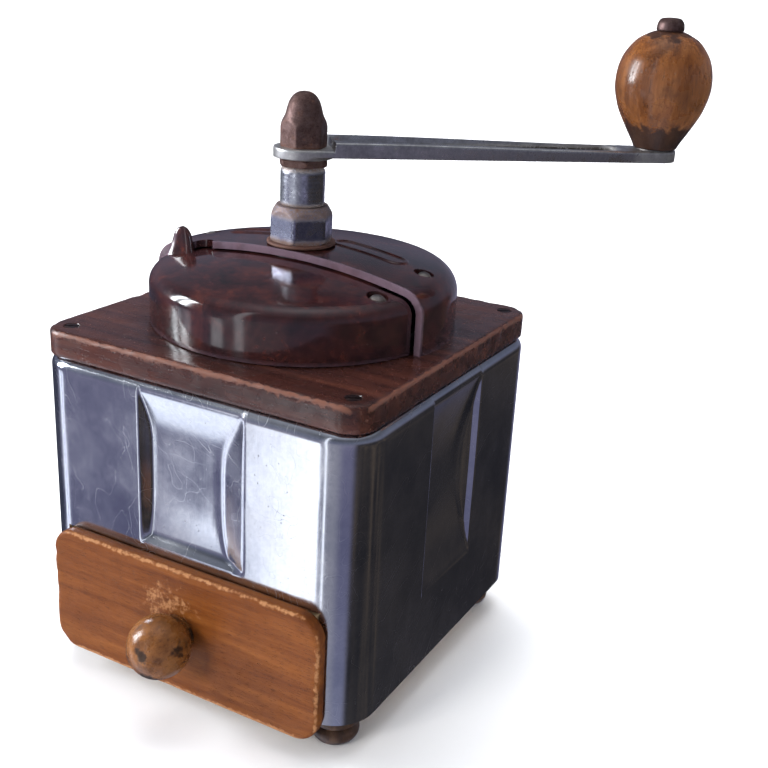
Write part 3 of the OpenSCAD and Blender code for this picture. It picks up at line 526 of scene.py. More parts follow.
# its third colour is a near-black, laid on the arm's ends and on the web in the recess between its rails
NICKEL = old_metal(
    "tarnished_nickel", (0.80, 0.79, 0.78), (0.47, 0.46, 0.46), (0.022, 0.016, 0.013), 0.2, 0.20, 5.5, 0.3)
BROWN_STEEL = old_metal(
    "brown_steel", (0.20, 0.145, 0.14), (0.075, 0.047, 0.048), (0.13, 0.055, 0.035), 0.45, 0.28, 2.4, 0.5)
DULL_STEEL = old_metal(
    "dull_steel", (0.42, 0.40, 0.38), (0.20, 0.18, 0.17), (0.15, 0.09, 0.06), 0.3, 0.3, 2.0, 0.4)
CAST_IRON = old_metal(
    "cast_iron", (0.17, 0.17, 0.18), (0.06, 0.06, 0.065), (0.15, 0.075, 0.045), 0.35, 0.45, 5.0, 0.5)
BRASS = old_metal("old_brass", (0.62, 0.45, 0.20), (0.30, 0.20, 0.09), None, 0, 0.28, 3.0, 0.4)


# ---------- case ----------

SHEET = 1.2
SHOULDER = 3.5
# right, rear and left grips: full depth, width and depth of the steep edge, and the softer run after it
GRIP_DEPTH = 4.3
GRIP_STEEP = 1.3
GRIP_EDGE = 2.4
GRIP_RUN = 9.0
# front grip: depth, width of its left wall, height of its brow, slope of its foot, the right ramp's width
# at its ends with what the bow adds at mid height, and how much of the ramp is straight
FRONT_DEPTH = 4.7
FRONT_STEEP = 2.4
FRONT_BROW = 21.0
FRONT_LEDGE_SLOPE = 1.6
FRONT_RAMP = (6.0, 8.5)
FRONT_STRAIGHT = 0.64
# width, sideways shift and foot height of the grip on the front, right, rear and left
GRIPS = [(40.6, 1.6, TOP - 64)] + [(36, 0, TOP - 80)] * 3
OPENING_HALF = 50.4
OPENING_TOP = 51.8


def front_grip(a, z, half, foot, head):
    """Depth of the front grip: sloping brow, steep left wall and foot, long curved ramp on the right."""
    bow = 2 * (z - foot) / (head - foot) - 1
    floor = FRONT_DEPTH * (1 - 0.5 * min(bow, 0) ** 2)
    brow = FRONT_DEPTH * (2 * smoothstep(-FRONT_BROW, FRONT_BROW, head - z) - 1)
    ledge = FRONT_LEDGE_SLOPE * (z - foot)
    left = floor * (half + a) / FRONT_STEEP
    ramp = FRONT_RAMP[0] + FRONT_RAMP[1] * math.sqrt(max(1 - bow * bow, 0))
    t = min((half - a) / ramp, 1)
    if t < FRONT_STRAIGHT:
        right = floor * 2 * t / (1 + FRONT_STRAIGHT)
    else:
        right = floor * (1 - (1 - t) ** 2 / ((1 - FRONT_STRAIGHT) * (1 + FRONT_STRAIGHT)))
    return soft_max(soft_min(soft_min(left, ledge, 0.8), soft_min(right, brow, 1.2), 0.6), 0, 0.4)


def grip_at(side, a, z):
    """Depth of the pressed grip at a along the face and z up."""
    width, shift, foot = GRIPS[side]
    head = case_high.z - 1
    if side == 0:
        return front_grip(a - shift, z, width / 2, foot, head)
    chord = (head - foot) / 2
    big = (chord ** 2 + GRIP_DEPTH ** 2) / (2 * GRIP_DEPTH)
    rise = z - (head + foot) / 2
    arc = GRIP_DEPTH - (big - math.sqrt(max(big * big - rise * rise, 0)))
    inward = width / 2 - abs(a - shift)
    if inward < GRIP_STEEP:
        wall = GRIP_EDGE * inward / GRIP_STEEP
    else:
        t = min((inward - GRIP_STEEP) / GRIP_RUN, 1)
        wall = GRIP_EDGE + (GRIP_DEPTH - 2.2) * math.sin(QUARTER * t)
    return soft_max(soft_min(wall, arc, 0.5), 0, 0.5)


def case_columns(side):
    """Places across one flat face, closer together at the grip's edges."""
    width, shift, _ = GRIPS[side]
    flat = CASE_HALF - CASE_CORNER
    places = [-flat]
    while places[-1] < flat - 0.2:
        from_edge = abs(abs(places[-1] - shift) - width / 2)
        places.append(min(places[-1] + (0.3 if from_edge < 3 else 0.7 if from_edge < 12 else 1.5), flat))
    return places


def make_case():
    """Pressed case with its grips, open below, above and for the drawer."""
    rows = []
    step = 0.9
    z = case_low.z
    while z < case_high.z - SHOULDER - 0.3:
        rows.append((0.0, z))
        z = OPENING_TOP if 0.01 < OPENING_TOP - z < step else z + step
    rows += [(SHOULDER * (1 - math.cos(a)), case_high.z - SHOULDER + SHOULDER * math.sin(a))
             for a in [QUARTER * i / 8 for i in range(9)]]
    rows += [(16.5, case_high.z)]
    edge_turn = math.asin((OPENING_HALF - (CASE_HALF - CASE_CORNER)) / CASE_CORNER)
    arcs = sorted([QUARTER * f for f in even(16)[1:-1]] + [edge_turn, QUARTER - edge_turn])
    verts = []
    for inset, z in rows:
        half = CASE_HALF - inset
        corner = max(CASE_CORNER - inset, 6.0)
        flat = half - corner
        for side in range(4):
            turn = Matrix.Rotation(QUARTER * side, 3, "Z")
            for a in case_columns(side):
                dent = grip_at(side, a, z)
                dent += 0.09 * wobble((a, side * 50, z), 22, 3.1) * smoothstep(0, 12, case_high.z - z)
                verts.append(turn @ Vector((a * flat / (CASE_HALF - CASE_CORNER), max(dent, 0) - half, z)))
            for t in arcs:
                verts.append(turn @ Vector((flat + corner * math.sin(t),
                                            -half + corner * (1 - math.cos(t)), z)))
    cols = len(verts) // len(rows)
    faces = []
    for face in grid_faces(len(rows), cols):
        mid = sum((verts[i] for i in face), Vector()) / 4
        if not (mid.y < 0 and abs(mid.x) < OPENING_HALF and mid.z < OPENING_TOP and mid.y < -CASE_HALF + 3):
            faces.append(face)
    case = mesh_piece("case", verts, faces)
    add_wall(case, SHEET, "x")
    bake_modifiers(case)
    crease(case, 50)
    return place(case, "housing", METAL, "case_metal", "body_shell")


# ---------- top plate ----------

PLATE_SCREW = 53.5


def make_plate():
    """Wooden plate with worn, slightly ragged edges, the hole for the dome's throat and four screw holes."""
    half = plate_high.x
    corner = 9.0
    flats, arcs = even(60), even(12)[1:-1]

    def ring(inset, z, ragged=0.0):
        out = []
        for p in square_ring(half - inset, half - inset, max(corner - inset, 1), flats, arcs):
            nick = ragged * max(0, wobble((p.x, p.y, z), 5, 7.7) - 0.12) * 2.6
            fine = ragged * 0.35 * wobble((p.x, p.y, z), 1.6, 2.2)
            scale = 1 - (nick + abs(fine)) / half
            out.append((p.x * scale, p.y * scale, z - nick * 0.5))
        return out

    def circle(r, z):
        return [(*(p.normalized() * r), z) for p in square_ring(half, half, corner, flats, arcs)]

    low = plate_low.z
    rings = [circle(38, low), circle(44, low), ring(8, low), ring(1.2, low), ring(0.4, low + 0.25, 0.2),
             ring(0, low + 0.8, 0.2)]
    rings += [ring(0, low + 0.8 + (TOP - low - 2.3) * f, 0.15) for f in even(5)[1:]]
    rings += [ring(1.5 * (1 - math.cos(a)), TOP - 1.5 + 1.5 * math.sin(a), 0.25)
              for a in [math.radians(15 * i) for i in range(1, 6)]]
    rings += [ring(1.5, TOP, 0.15), ring(2.4, TOP), ring(4, TOP), ring(7, TOP), ring(9, TOP)]
    rings += [circle(50.6, TOP), circle(50, TOP - 0.15), circle(46, TOP - 0.15), circle(40.5, TOP - 0.15),
              circle(40.45, TOP - 2.3), circle(38, TOP - 2.3), circle(38, low)]
    plate = loft("plate", rings)
    for sx in (-1, 1):
        for sy in (-1, 1):
            bpy.ops.mesh.primitive_cone_add(vertices=48, radius1=0.9 * MM, radius2=3.15 * MM, depth=3 * MM,
                                            location=to_frame((sx * PLATE_SCREW, sy * PLATE_SCREW, TOP - 1)))
            cut(plate, bpy.context.object)
    crease(plate, 45)

    def wear_and_highlight(p):
        side = max(abs(p.x), abs(p.y))
        edge = smoothstep(half - 1.6, half - 0.3, side) * smoothstep(TOP - 2.4, TOP - 0.7, p.z)
        rim = smoothstep(half - 6, half, side) * 0.42
        corner_wear = smoothstep(half * 1.30, half * 1.38, p.xy.length) * 0.3
        return min(edge * 0.62 + rim * 0.45 + corner_wear, 1)

    paint(plate, "wear_and_highlight", wear_and_highlight)
    return place(plate, "housing", PLATE_WOOD, "dark_wood", "top_plate")


# ---------- hopper dome and lid ----------

# radius of the round shoulder, height of its centre and the slope where it meets the big sphere of the top
SHOULDER_R = 8.5
WALL_H = 12.8
TILT = math.radians(13)
# wall thickness, how far the lid lies inside the dome's outline, and where the dome's lip is
MOULD = 2.4
LID_DROP = 3.0
LIP_Y = 11.0
RING_R = DOME_R - SHOULDER_R
BIG_R = (RING_R + SHOULDER_R * math.sin(TILT)) / math.sin(TILT)
BIG_Z = WALL_H + SHOULDER_R * math.cos(TILT) - BIG_R * math.cos(TILT)
PIVOT = (39.5, -17.0)
DOME_SCREWS = [(-43.0, 7.4), (43.0, 7.4)]


def dome_profile(inset, foot, extra=()):
    """(radius, height above the plate) up the wall, round the shoulder and over the top."""
    small = SHOULDER_R - inset
    out = [(DOME_R - inset, foot + (WALL_H - foot) * f) for f in even(8)]
    out += [(RING_R + small * math.cos(a), WALL_H + small * math.sin(a))
            for a in [(QUARTER - TILT) * f for f in even(16)[1:]]]
    radii = sorted({RING_R * (1 - i / 40) for i in range(1, 40)} | set(extra), reverse=True)
    start = out[-1][0]
    out += [(r, BIG_Z + math.sqrt((BIG_R - inset) ** 2 - r * r)) for r in radii if r < start - 0.3]
    return out


def turned_shell(name, profile):
    """Skin turned about the shaft, with heights above the plate."""
    segments = 320
    rings = [[(r * math.cos(math.tau * k / segments), r * math.sin(math.tau * k / segments), TOP + z)
              for k in range(segments)] for r, z in profile]
    return loft(name, rings, cap_last=True)


def slice_mesh(obj, plane_y, keep_front=None):
    """Splits the mesh along y = plane_y; keep_front says which side stays, None keeps both."""
    with editing(obj.data) as bm:
        bmesh.ops.bisect_plane(
            bm, geom=bm.verts[:] + bm.edges[:] + bm.faces[:], plane_co=to_frame((0, plane_y, 0)),
            plane_no=(0, 1, 0), clear_outer=keep_front is True, clear_inner=keep_front is False)


def drop_faces(obj, test):
    """Removes the faces whose middle point passes the test."""
    with editing(obj.data) as bm:
        gone = [f for f in bm.faces if test(from_frame(f.calc_center_median()))]
        bmesh.ops.delete(bm, geom=gone, context="FACES")


def thicken(obj, thickness, rim=0.35):
    """Gives a skin its wall, then rounds the wall's edges."""
    add_wall(obj, thickness, "z")
    add_bevel(obj, rim, 3, 55)
    bake_modifiers(obj)


def bore(obj, x, y, radius, low, high):
    """Cuts an upright round hole."""
    bpy.ops.mesh.primitive_cylinder_add(vertices=64, radius=radius * MM, depth=(high - low) * MM,
                                        location=to_frame((x, y, (low + high) / 2)))
    cut(obj, bpy.context.object)


# half length and half width of the plaques, and their places and turn
PLAQUE_LONG = 14.5
PLAQUE_WIDE = 4.6
PLAQUE_X, PLAQUE_Y, PLAQUE_TURN = 21, 10, math.radians(-4)
CROWN = TOP + 20


def plaque_rise(x, y):
    """Raised border of the blank oval plaque on each side of the nut."""
    best = 0.0
    for side in (-1, 1):
        turn = side * PLAQUE_TURN
        dx, dy = x - side * PLAQUE_X, y - PLAQUE_Y
        along = dx * math.cos(turn) + dy * math.sin(turn)
        across = -dx * math.sin(turn) + dy * math.cos(turn)
        straight = PLAQUE_LONG - PLAQUE_WIDE
        off = math.hypot(max(abs(along) - straight, 0), across) - PLAQUE_WIDE
        border = smoothstep(0.95, 0.25, abs(off + 0.7))
        best = max(best, 0.5 * border)
    return best


def make_dome():
    """Rear half of the hopper with the bridge's lip, plaques, shaft hole and screw recesses."""
    shell = turned_shell("dome", dome_profile(0, 0))
    slice_mesh(shell, -LIP_Y, keep_front=False)
    with editing(shell.data) as bm:
        near = [f for f in bm.faces if from_frame(f.calc_center_median()).z > CROWN]
        bmesh.ops.subdivide_edges(bm, edges=list({e for f in near for e in f.edges}), cuts=2,
                                  use_grid_fill=True)
        for v in bm.verts:
            p = from_frame(v.co)
            if p.z > CROWN:
                v.co.z += plaque_rise(p.x, p.y) * MM
    thicken(shell, MOULD)
    bore(shell, 0, 0, 7.1, TOP + 10, TOP + 40)
    for x, y in DOME_SCREWS:
        bore(shell, x, y, 3.4, TOP + 20.6, TOP + 40)
    bore(shell, -32.5, -LIP_Y - 1.2, 4, TOP, TOP + 40)
    crease(shell, 38)

    def wear_and_highlight(p):
        # lighter colour: a painted highlight along the bridge's front lip, and a worn strip at the foot
        lip = smoothstep(-LIP_Y + 0.9, -LIP_Y + 0.25, p.y)
        foot = smoothstep(1.6, 0.2, p.z - TOP) * 0.4
        return max(lip, foot)

    paint(shell, "wear_and_highlight", wear_and_highlight)
    return place(shell, "housing", MOULDING, "moulding", "hopper_dome")


def fin_rings():
    """Upright thumb fin: rounded sections that narrow upwards and lean on their rear face."""
    foot, top = 16.5, 28.3
    middle_x, rear_y = -39.6, -11.75
    round_from = 0.72
    squareness = 0.62

    def boxy(c):
        return math.copysign(abs(c) ** squareness, c)

    rings = []
    for f in even(20):
        flare = (1 - f) ** 8
        half_w = 5.6 - 3.1 * f + 1.6 * flare
        front = -17.0 + 2.4 * (1 - (1 - f) ** 2.2) - 1.4 * flare
        rear = rear_y
        if f > round_from:
            cap = math.sqrt(max(1 - ((f - round_from) / (1 - round_from)) ** 2, 0))
            half_w = max(half_w * cap, 0.05)
            mid = (front + rear) / 2
            front = mid + (front - mid) * max(cap, 0.15)
            rear = mid + (rear - mid) * max(cap, 0.15)
        z = TOP + foot + (top - foot) * f
        rings.append([(middle_x + boxy(math.cos(a)) * half_w,
                       (front + rear) / 2 + boxy(math.sin(a)) * (rear - front) / 2, z)
                      for a in [math.tau * k / 48 for k in range(48)]])
    return rings


def make_lid():
    """Lid over the front half: a skin that laps under the bridge, the boss it turns on and the thumb fin."""
    lap_y, lap_r, end_y = -7.4, 38.5, -LIP_Y - 0.6
    lid = turned_shell("lid", dome_profile(LID_DROP, 0.25, (lap_r,)))
    slice_mesh(lid, lap_y, keep_front=True)
    slice_mesh(lid, end_y)
    drop_faces(lid, lambda p: p.y > end_y and p.xy.length > lap_r)
    # thinner than the CAD's wall, so that the open lid stays clear of its bracket
    thicken(lid, MOULD - 0.5, 0.5)
    bore(lid, *PIVOT, 3.5, TOP + 17.6, TOP + 40)
    bore(lid, *PIVOT, 2.03, TOP, TOP + 40)
    crease(lid, 38)
    paint(lid, "wear_and_highlight", lambda p: 0.35 * smoothstep(1.8, 0.3, p.z - TOP))
    place(lid, "lid", MOULDING, "moulding", "hopper_lid")

    boss = above_plate("lid_boss", [(2.03, 14.6), (4.6, 14.6), (4.6, 18.2), (3.6, 18.2), (3.6, 17.55),
                                    (2.03, 17.55)], PIVOT, 64)
    paint(boss, "wear_and_highlight", lambda p: 0.0)
    place(boss, "lid", MOULDING, "moulding")

    fin = loft("lid_fin", fin_rings(), cap_first=True, cap_last=True)

    def wear_and_highlight(p):
        # lighter colour up the fin's front left edge: a painted highlight of its lit edge
        lean = (p.z - TOP - 17) * 0.24
        return 0.85 * smoothstep(-42.2 + lean, -43.6 + lean, p.x) * smoothstep(-13.6, -15.4, p.y)

    paint(fin, "wear_and_highlight", wear_and_highlight)
    place(fin, "lid", MOULDING, "moulding")


def round_head(name, x, y, foot, radius, rise, shank_r, shank_low):
    """Round-headed rivet or screw, with its shank."""
    ball = (radius ** 2 + rise ** 2) / (2 * rise)
    head = [(ball * math.sin(a), foot + 0.25 + rise - ball * (1 - math.cos(a)))
            for a in [math.asin(radius / ball) * f for f in reversed(even(10))]]
    profile = [(0.05, shank_low), (shank_r, shank_low), (shank_r, foot), (radius, foot)] + head[:-1]
    return above_plate(
        name, profile, (x, y), 64,
        lambda r, z, a: r * (1 + 0.03 * wobble((r * math.cos(a) + x, r * math.sin(a) + y, z), 1.5)))


def make_rivets():
    low = span_above_plate("dome_screws")[0]
    rows = [(f"dome_screw_{i}", *at, 20.7, 2.3, 1.25, 1.4, low, 20.5, "dome_screws")
            for i, at in enumerate(DOME_SCREWS)]
    rows.append(("lid_rivet_head", *PIVOT, 17.68, 2.6, 1.5, 1.95, 12.3, 17.6, "lid_rivet"))
    for *shape, rust_from, node in rows:
        head = round_head(*shape)
        paint(head, "wear_and_highlight", lambda p: 0.35 * smoothstep(2.0, 0.6, p.z - TOP - rust_from))
        place(head, "housing", DULL_STEEL, "old_steel", node)


# ---------- nuts, collar and crank ----------

def hexagon(radius, angle, turn):
    """Distance from the centre to the side of a hexagon with slightly rounded corners."""
    a = (angle - turn) % math.radians(60) - math.radians(30)
    flat = radius * math.cos(math.radians(30)) / math.cos(a)
    return soft_min(flat, radius - 0.12, 0.35)


def hex_piece(name, across, degrees, profile):
    """Turned hexagon: the smaller of the hexagon and the turned profile at every angle."""
    turn = math.radians(degrees)
    dense = []
    for (r0, z0), (r1, z1) in zip(profile, profile[1:]):
        n = max(int(math.hypot(r1 - r0, z1 - z0) / 0.35), 1)
        dense += [(r0 + (r1 - r0) * i / n, z0 + (z1 - z0) * i / n) for i in range(n)]
    dense.append(profile[-1])

    def radius_at(r, z, a):
        return soft_min(hexagon(across, a, turn), r, 0.3) if r > 1.5 else r

    obj = above_plate(name, dense, (0, 0), 288, radius_at)
    crease(obj, 60)
    return obj


def nut_profile(radius, low, high, shoulder_r, shoulder_z):
    """Outline of a nut with a chamfered foot and shoulder."""
    return [(0.6, low), (radius - 0.7, low), (radius + 0.05, low + 0.6), (radius + 0.05, low + shoulder_z),
            (radius - 0.7, low + shoulder_z + (high - low - shoulder_z) * 0.45), (shoulder_r, high),
            (0.6, high)]


def make_stack():
    """What stands on the shaft's axis above the dome, from the washer up to the cap nut."""
    nut_low, nut_high = span_above_plate("bearing_nut")
    nut = hex_piece("hex_nut", 10.85, -72, nut_profile(10.85, nut_low, nut_high, 8.6, 7.6))
    paint(nut, "wear_and_highlight", lambda p: max(smoothstep(2.6, 0.4, p.z - TOP - nut_low) * 0.9,
                                     smoothstep(7.2, 9.5, p.z - TOP - nut_low) * 0.8))
    place(nut, "housing", CHROME, "bright_steel", "bearing_nut")

    low, high = span_above_plate("nut_washer")
    washer = above_plate("nut_washer_disc", [(7.2, low), (11.2, low), (11.6, low + 0.25), (11.5, high - 0.2),
                                             (11.1, high), (7.2, high)], (0, 0), 96)
    paint(washer, "wear_and_highlight", lambda p: 0.8)
    place(washer, "housing", BROWN_STEEL, "brown_steel", "nut_washer")

    low, high = span_above_plate("adjusting_sleeve")
    rings = [(4.7, low), (7.15, low), (7.4, low + 0.5)]
    rings += [(7.4 + 0.03 * math.sin(i * 2.1), low + 0.5 + (high - low - 2.3) * f)
              for i, f in enumerate(even(24)[1:])]
    rings += [(7.25, high - 1.3), (6.95, high - 0.9), (6.85, high - 0.5), (6.5, high), (4.7, high)]

    def dented(r, z, a):
        return r - 0.1 * max(0, wobble((7 * math.cos(a), 7 * math.sin(a), z), 2.6, 4.4) - 0.2)

    collar = above_plate("collar", rings, radius_at=dented)
    crease(collar, 50)
    paint(collar, "wear_and_highlight", lambda p: 0.8 * max(smoothstep(1.8, 0.2, p.z - TOP - low),
                                              smoothstep(2.2, 0.6, TOP + high - p.z)))
    place(collar, "adjuster", COLLAR, "bright_steel", "adjusting_sleeve")

    low, high = span_above_plate("lock_ring")
    lock = hex_piece("thin_nut", 8.6, -50, nut_profile(8.6, low, high, 8.1, 1.9))
    paint(lock, "wear_and_highlight", lambda p: 0.5)
    place(lock, "adjuster", BROWN_STEEL, "brown_steel", "lock_ring")

    cap_low, high = span_above_plate("cap_nut")
    hex_h = 7.4
    hex_top = cap_low + hex_h
    dome = spline([(7.3, hex_top + 0.7), (6.3, hex_top + 2.6), (5.75, hex_top + 4.6), (5.0, hex_top + 6.9),
                   (3.75, hex_top + 8.8), (2.2, high - 0.35), (0.6, high)], 5)
    profile = [(3.2, cap_low), (7.6, cap_low), (8.05, cap_low + 0.5), (8.05, hex_top - 1.2)]
    cap = hex_piece("acorn_nut", 8.0, -75, profile + [tuple(p) for p in dome])
    paint(cap, "wear_and_highlight", lambda p: 0.35 + 0.4 * smoothstep(2, 0, p.z - TOP - cap_low))
    place(cap, "crank", BROWN_STEEL, "brown_steel", "cap_nut")


ARM_TURN = math.radians(40.3)
ARM_LEN = 122.3
HUB_R = 9.9
ARM_END_R = 7.3
# heights above the plate: undersides of hub and arm, web between the rails, flat for the cap nut, and rails
HUB_LOW = 55.2
ARM_LOW = 56.2
ARM_WEB = 58.1
HUB_FLAT = 58.5
RAIL_TOP = 61.2
# where the recess between the rails starts and ends along the arm, and its half width there
POCKET = ((16, 6.6), (103.5, 5.4))


def arm_half_width(s):
    """Half width of the arm's plan at s along it."""
    lean = math.asin((HUB_R - ARM_END_R) / ARM_LEN)
    if s < HUB_R * math.sin(lean):
        return math.sqrt(max(HUB_R ** 2 - s * s, 0))
    if s > ARM_LEN + ARM_END_R * math.sin(lean):
        return math.sqrt(max(ARM_END_R ** 2 - (s - ARM_LEN) ** 2, 0))
    return (HUB_R - s * math.sin(lean)) / math.cos(lean)


def round_off(rim, radius):
    """How far a rounded edge has dropped at a distance rim from it."""
    return radius - math.sqrt(max(radius ** 2 - (radius - min(rim, radius)) ** 2, 0))


def arm_top(s, rim, t):
    """Height of the arm's upper side: rails, the recess between them and the flat for the cap nut."""
    rail = RAIL_TOP - 1.15 * smoothstep(14, 108, s)
    (start, start_r), (end, end_r) = POCKET
    if s < start:
        off = math.hypot(s - start, t) - start_r
    elif s > end:
        off = math.hypot(s - end, t) - end_r
    else:
        off = abs(t) - start_r + (start_r - end_r) * smoothstep(start, end, s)
    top = ARM_WEB + (rail - ARM_WEB) * smoothstep(-0.35, 0.35, off)
    if s < start:
        top = min(top, HUB_FLAT + (rail - HUB_FLAT) * smoothstep(8.7, 10.2, math.hypot(s, t)))
    if s < 8.9:
        top = min(top, HUB_FLAT)
    return top - round_off(rim, 0.9)


def make_arm():
    """Channel-shaped crank arm as rows across it, from the hub to the rounded end."""
    stations = [HUB_R * math.cos(math.pi - QUARTER * f) for f in even(22)]
    s = 0.8
    while s < ARM_LEN:
        stations.append(s)
        s += 0.35 if s < 26 or 98 < s < 108 else 1.2
    stations += [ARM_LEN + ARM_END_R * math.sin(QUARTER * f) for f in even(22)]
    across = 72
    turn = Matrix.Rotation(ARM_TURN, 3, "Z")
    rings = []
    for s in stations:
        half = max(arm_half_width(s), 0.02)
        ring = []
        for k in range(across + 1):
            t = -half * math.cos(math.pi * k / across)
            rim = min(half - abs(t), max(s + HUB_R, 0), max(ARM_LEN + ARM_END_R - s, 0))
            ring.append((s, t, arm_top(s, rim, t)))
        for k in range(across + 1):
            t = half * math.cos(math.pi * k / across)
            low = HUB_LOW if s < 9.6 and math.hypot(s, t) < HUB_R else ARM_LOW
            ring.append((s, t, low + round_off(half - abs(t), 0.4)))
        rings.append([turn @ Vector((s, t, 0)) + Vector((0, 0, TOP + z)) for s, t, z in ring])
    arm = loft("arm", rings, cap_first=True, cap_last=True)
    crease(arm, 42)

    def wear_and_highlight(p):
        along = p.x * math.cos(ARM_TURN) + p.y * math.sin(ARM_TURN)
        off = abs(p.y * math.cos(ARM_TURN) - p.x * math.sin(ARM_TURN))
        # near-black at the hub and the end, and on the web in the recess between the rails
        ends = 0.35 * smoothstep(14, 8, p.xy.length) + 0.25 * smoothstep(108, 116, p.xy.length)
        recess = smoothstep(6.6, 5.4, off) * smoothstep(10, 14, along) * smoothstep(110, 107, along)
        web = smoothstep(TOP + 60.2, TOP + 59, p.z) * smoothstep(TOP + 57, TOP + 57.6, p.z)
        return min(ends + recess * web, 1)

    paint(arm, "wear_and_highlight", wear_and_highlight)
    return place(arm, "crank", NICKEL, "bright_steel", "crank_arm")


# ---------- crank knob ----------

def make_knob():
    """Turned pear-shaped knob and the pin it spins on."""
    low, high = box_mm("crank_knob")
    centre = ((low.x + high.x) / 2, (low.y + high.y) / 2)
    # radius, and height above the knob's foot
    shape = [(7.4, 0.25), (8.6, 2.6), (11.3, 7.2), (14.05, 12.4), (15.85, 18.2), (16.22, 22.4), (15.6, 27.2),
             (13.95, 31.4), (10.5, 35.7), (6.4, 38.1)]
    profile = [(3.2, low.z), (6.9, low.z)] + [(p[0], low.z + p[1]) for p in spline(shape, 6)]
    profile += [(5.0, high.z), (3.2, high.z)]
    knob = lathe("pear_knob", profile, centre, 160,
                 lambda r, z, a: r + 0.10 * wobble((r * math.cos(a), r * math.sin(a), z), 9, 1.3) - 0.1)

    def wear_and_highlight(p):
        # darker towards the foot, and dark marks at the cap and in streaks between
        h = p.z - low.z
        foot = smoothstep(14, 3, h)
        crown = smoothstep(34.5, 38.5, h) * 0.7
        streak = max(0, wobble((p.x * 3, p.y * 3, p.z * 0.35), 10, 5.5)) * 0.75
        return min(foot + crown + streak, 1)

    paint(knob, "wear_and_highlight", wear_and_highlight)
    place(knob, "crank_grip", KNOB_WOOD, "knob_wood", "crank_knob")

    pin_low, pin_high = box_mm("knob_pin")
    shank = 2.9
    foot = high.z + 0.1
    cap = spline([(4.35, foot), (4.6, foot + 0.5), (4.55, foot + 1.6), (4.2, foot + 2.9), (3.2, foot + 4.0),
                  (1.6, pin_high.z - 0.08), (0.3, pin_high.z)], 5)
    profile = [(0.3, pin_low.z), (shank, pin_low.z), (shank, foot)] + [tuple(p) for p in cap]
    pin = lathe("pin_cap", profile, centre, 96,
                lambda r, z, a: r * (1 + 0.025 * wobble((r * math.cos(a), r * math.sin(a), z), 2.4, 0.4)))
    crease(pin, 50)
    paint(pin, "wear_and_highlight", lambda p: 0.3)
    place(pin, "crank", BROWN_STEEL, "brown_steel", "knob_pin")


# ---------- drawer ----------

def make_drawer_front():
    """Front board with rounded corners and softened, worn edges, and the tongue behind it."""
    half = front_high.x
    mid_z = (front_low.z + front_high.z) / 2
    half_z = (front_high.z - front_low.z) / 2
    rear_y = -CASE_HALF - 0.2
    face_y = front_low.y
    corner = 8.5
    flats, arcs = even(56), even(14)[1:-1]

    def ring(inset, y, ragged=0.0):
        out = []
        c = max(corner - inset, 0.8)
        for p in square_ring(half - inset, half_z - inset, c, flats, arcs):
            nick = ragged * max(0, wobble((p.x, p.y, 5), 4.2, 9.1) - 0.1) * 1.6
            nick = max(nick + ragged * 0.2 * wobble((p.x, p.y, y), 1.3, 6.2), 0)
            pull = 1 - nick / half
            out.append((p.x * pull, y + nick * 0.5, mid_z + p.y * pull))
        return out

    edge = 1.3
    rings = [ring(half_z - 1.5, rear_y), ring(1.2, rear_y), ring(0.5, rear_y - 0.15),
             ring(0, rear_y - 0.6, 0.1)]
    rings += [ring(0, rear_y - 0.6 + (face_y + edge - rear_y + 0.6) * f, 0.12) for f in even(4)[1:]]
    rings += [ring(edge * (1 - math.cos(a)), face_y + edge - edge * math.sin(a), 0.3)
              for a in [math.radians(15 * i) for i in range(1, 7)]]
    rings += [ring(inset, face_y) for inset in (2, 3, 5, 8, 12, 16, 20, half_z - 0.6)]
    board = loft("drawer_board", rings, cap_first=True, cap_last=True)
    crease(board, 50)

    def wear_and_highlight(p):
        side = max(abs(p.x) - half, abs(p.z - mid_z) - half_z)
        rim = smoothstep(-2.6, -0.4, side) * smoothstep(face_y + 2.2, face_y + 0.3, p.y)
        flakes = smoothstep(14, 4, math.hypot((p.x + 4) / 1.5, p.z - mid_z - 9)) * 0.5
        foot = smoothstep(6, 0.5, p.z - front_low.z) * 0.25
        return min(rim * 0.62 + flakes + foot, 1)

    paint(board, "wear_and_highlight", wear_and_highlight)
    place(board, "drawer", DRAWER_WOOD, "drawer_wood", "drawer_front")

    box_low = box_mm("drawer_sides")[0]
    low, high = box_low.z, box_low.z + 30
    inner = abs(box_low.x)
    tongue = [[(x, y, z) for x, z in ((-inner, low), (inner, low), (inner, high), (-inner, high))]
              for y in (rear_y - 0.3, rear_y + 5.2)]
    block = loft("drawer_tongue", tongue, cap_first=True, cap_last=True)
    crease(block, 30)
    place(block, "drawer", INNER_WOOD, "drawer_wood")


def make_ball():
    """Turned ball on a short neck, lying on its side."""
    low, high = box_mm("drawer_knob")
    mid_z = (low.z + high.z) / 2
    radius = (high.z - low.z) / 2
    ball_y = low.y + radius
    face_y = high.y
    reach = face_y - ball_y
    join = math.acos(min(6.0 / radius, 1))
    # radius, and distance out from the board
    arc = [(radius * math.cos(a), reach + radius * math.sin(a))
           for a in [-join + (QUARTER + join) * f for f in even(40)]]
    profile = [(6.4, 0.0), (6.2, 0.5), (6.0, 1.2)] + [p for p in arc if p[1] > 1.2]
    rings = []
    for r, d in profile:
        ring = []
        for k in range(128):
            a = math.tau * k / 128
            rr = max(r, 0.02) + 0.07 * wobble((r * math.cos(a), d, r * math.sin(a)), 5, 2.9) - 0.07
            ring.append((rr * math.cos(a), face_y - d, mid_z + rr * math.sin(a)))
        rings.append(ring)
    ball = loft("ball_knob", rings, cap_first=True, cap_last=True)

    def wear_and_highlight(p):
        # dark blotches, and darker over the half towards the board
        behind = 0.3 * smoothstep(ball_y - 2, ball_y + 7, p.y)
        return min(1, max(0, wobble(p, 5.5, 8.2) * 1.1 + 0.12 + behind))

    paint(ball, "wear_and_highlight", wear_and_highlight)
    place(ball, "drawer", BALL_WOOD, "knob_wood", "drawer_knob")


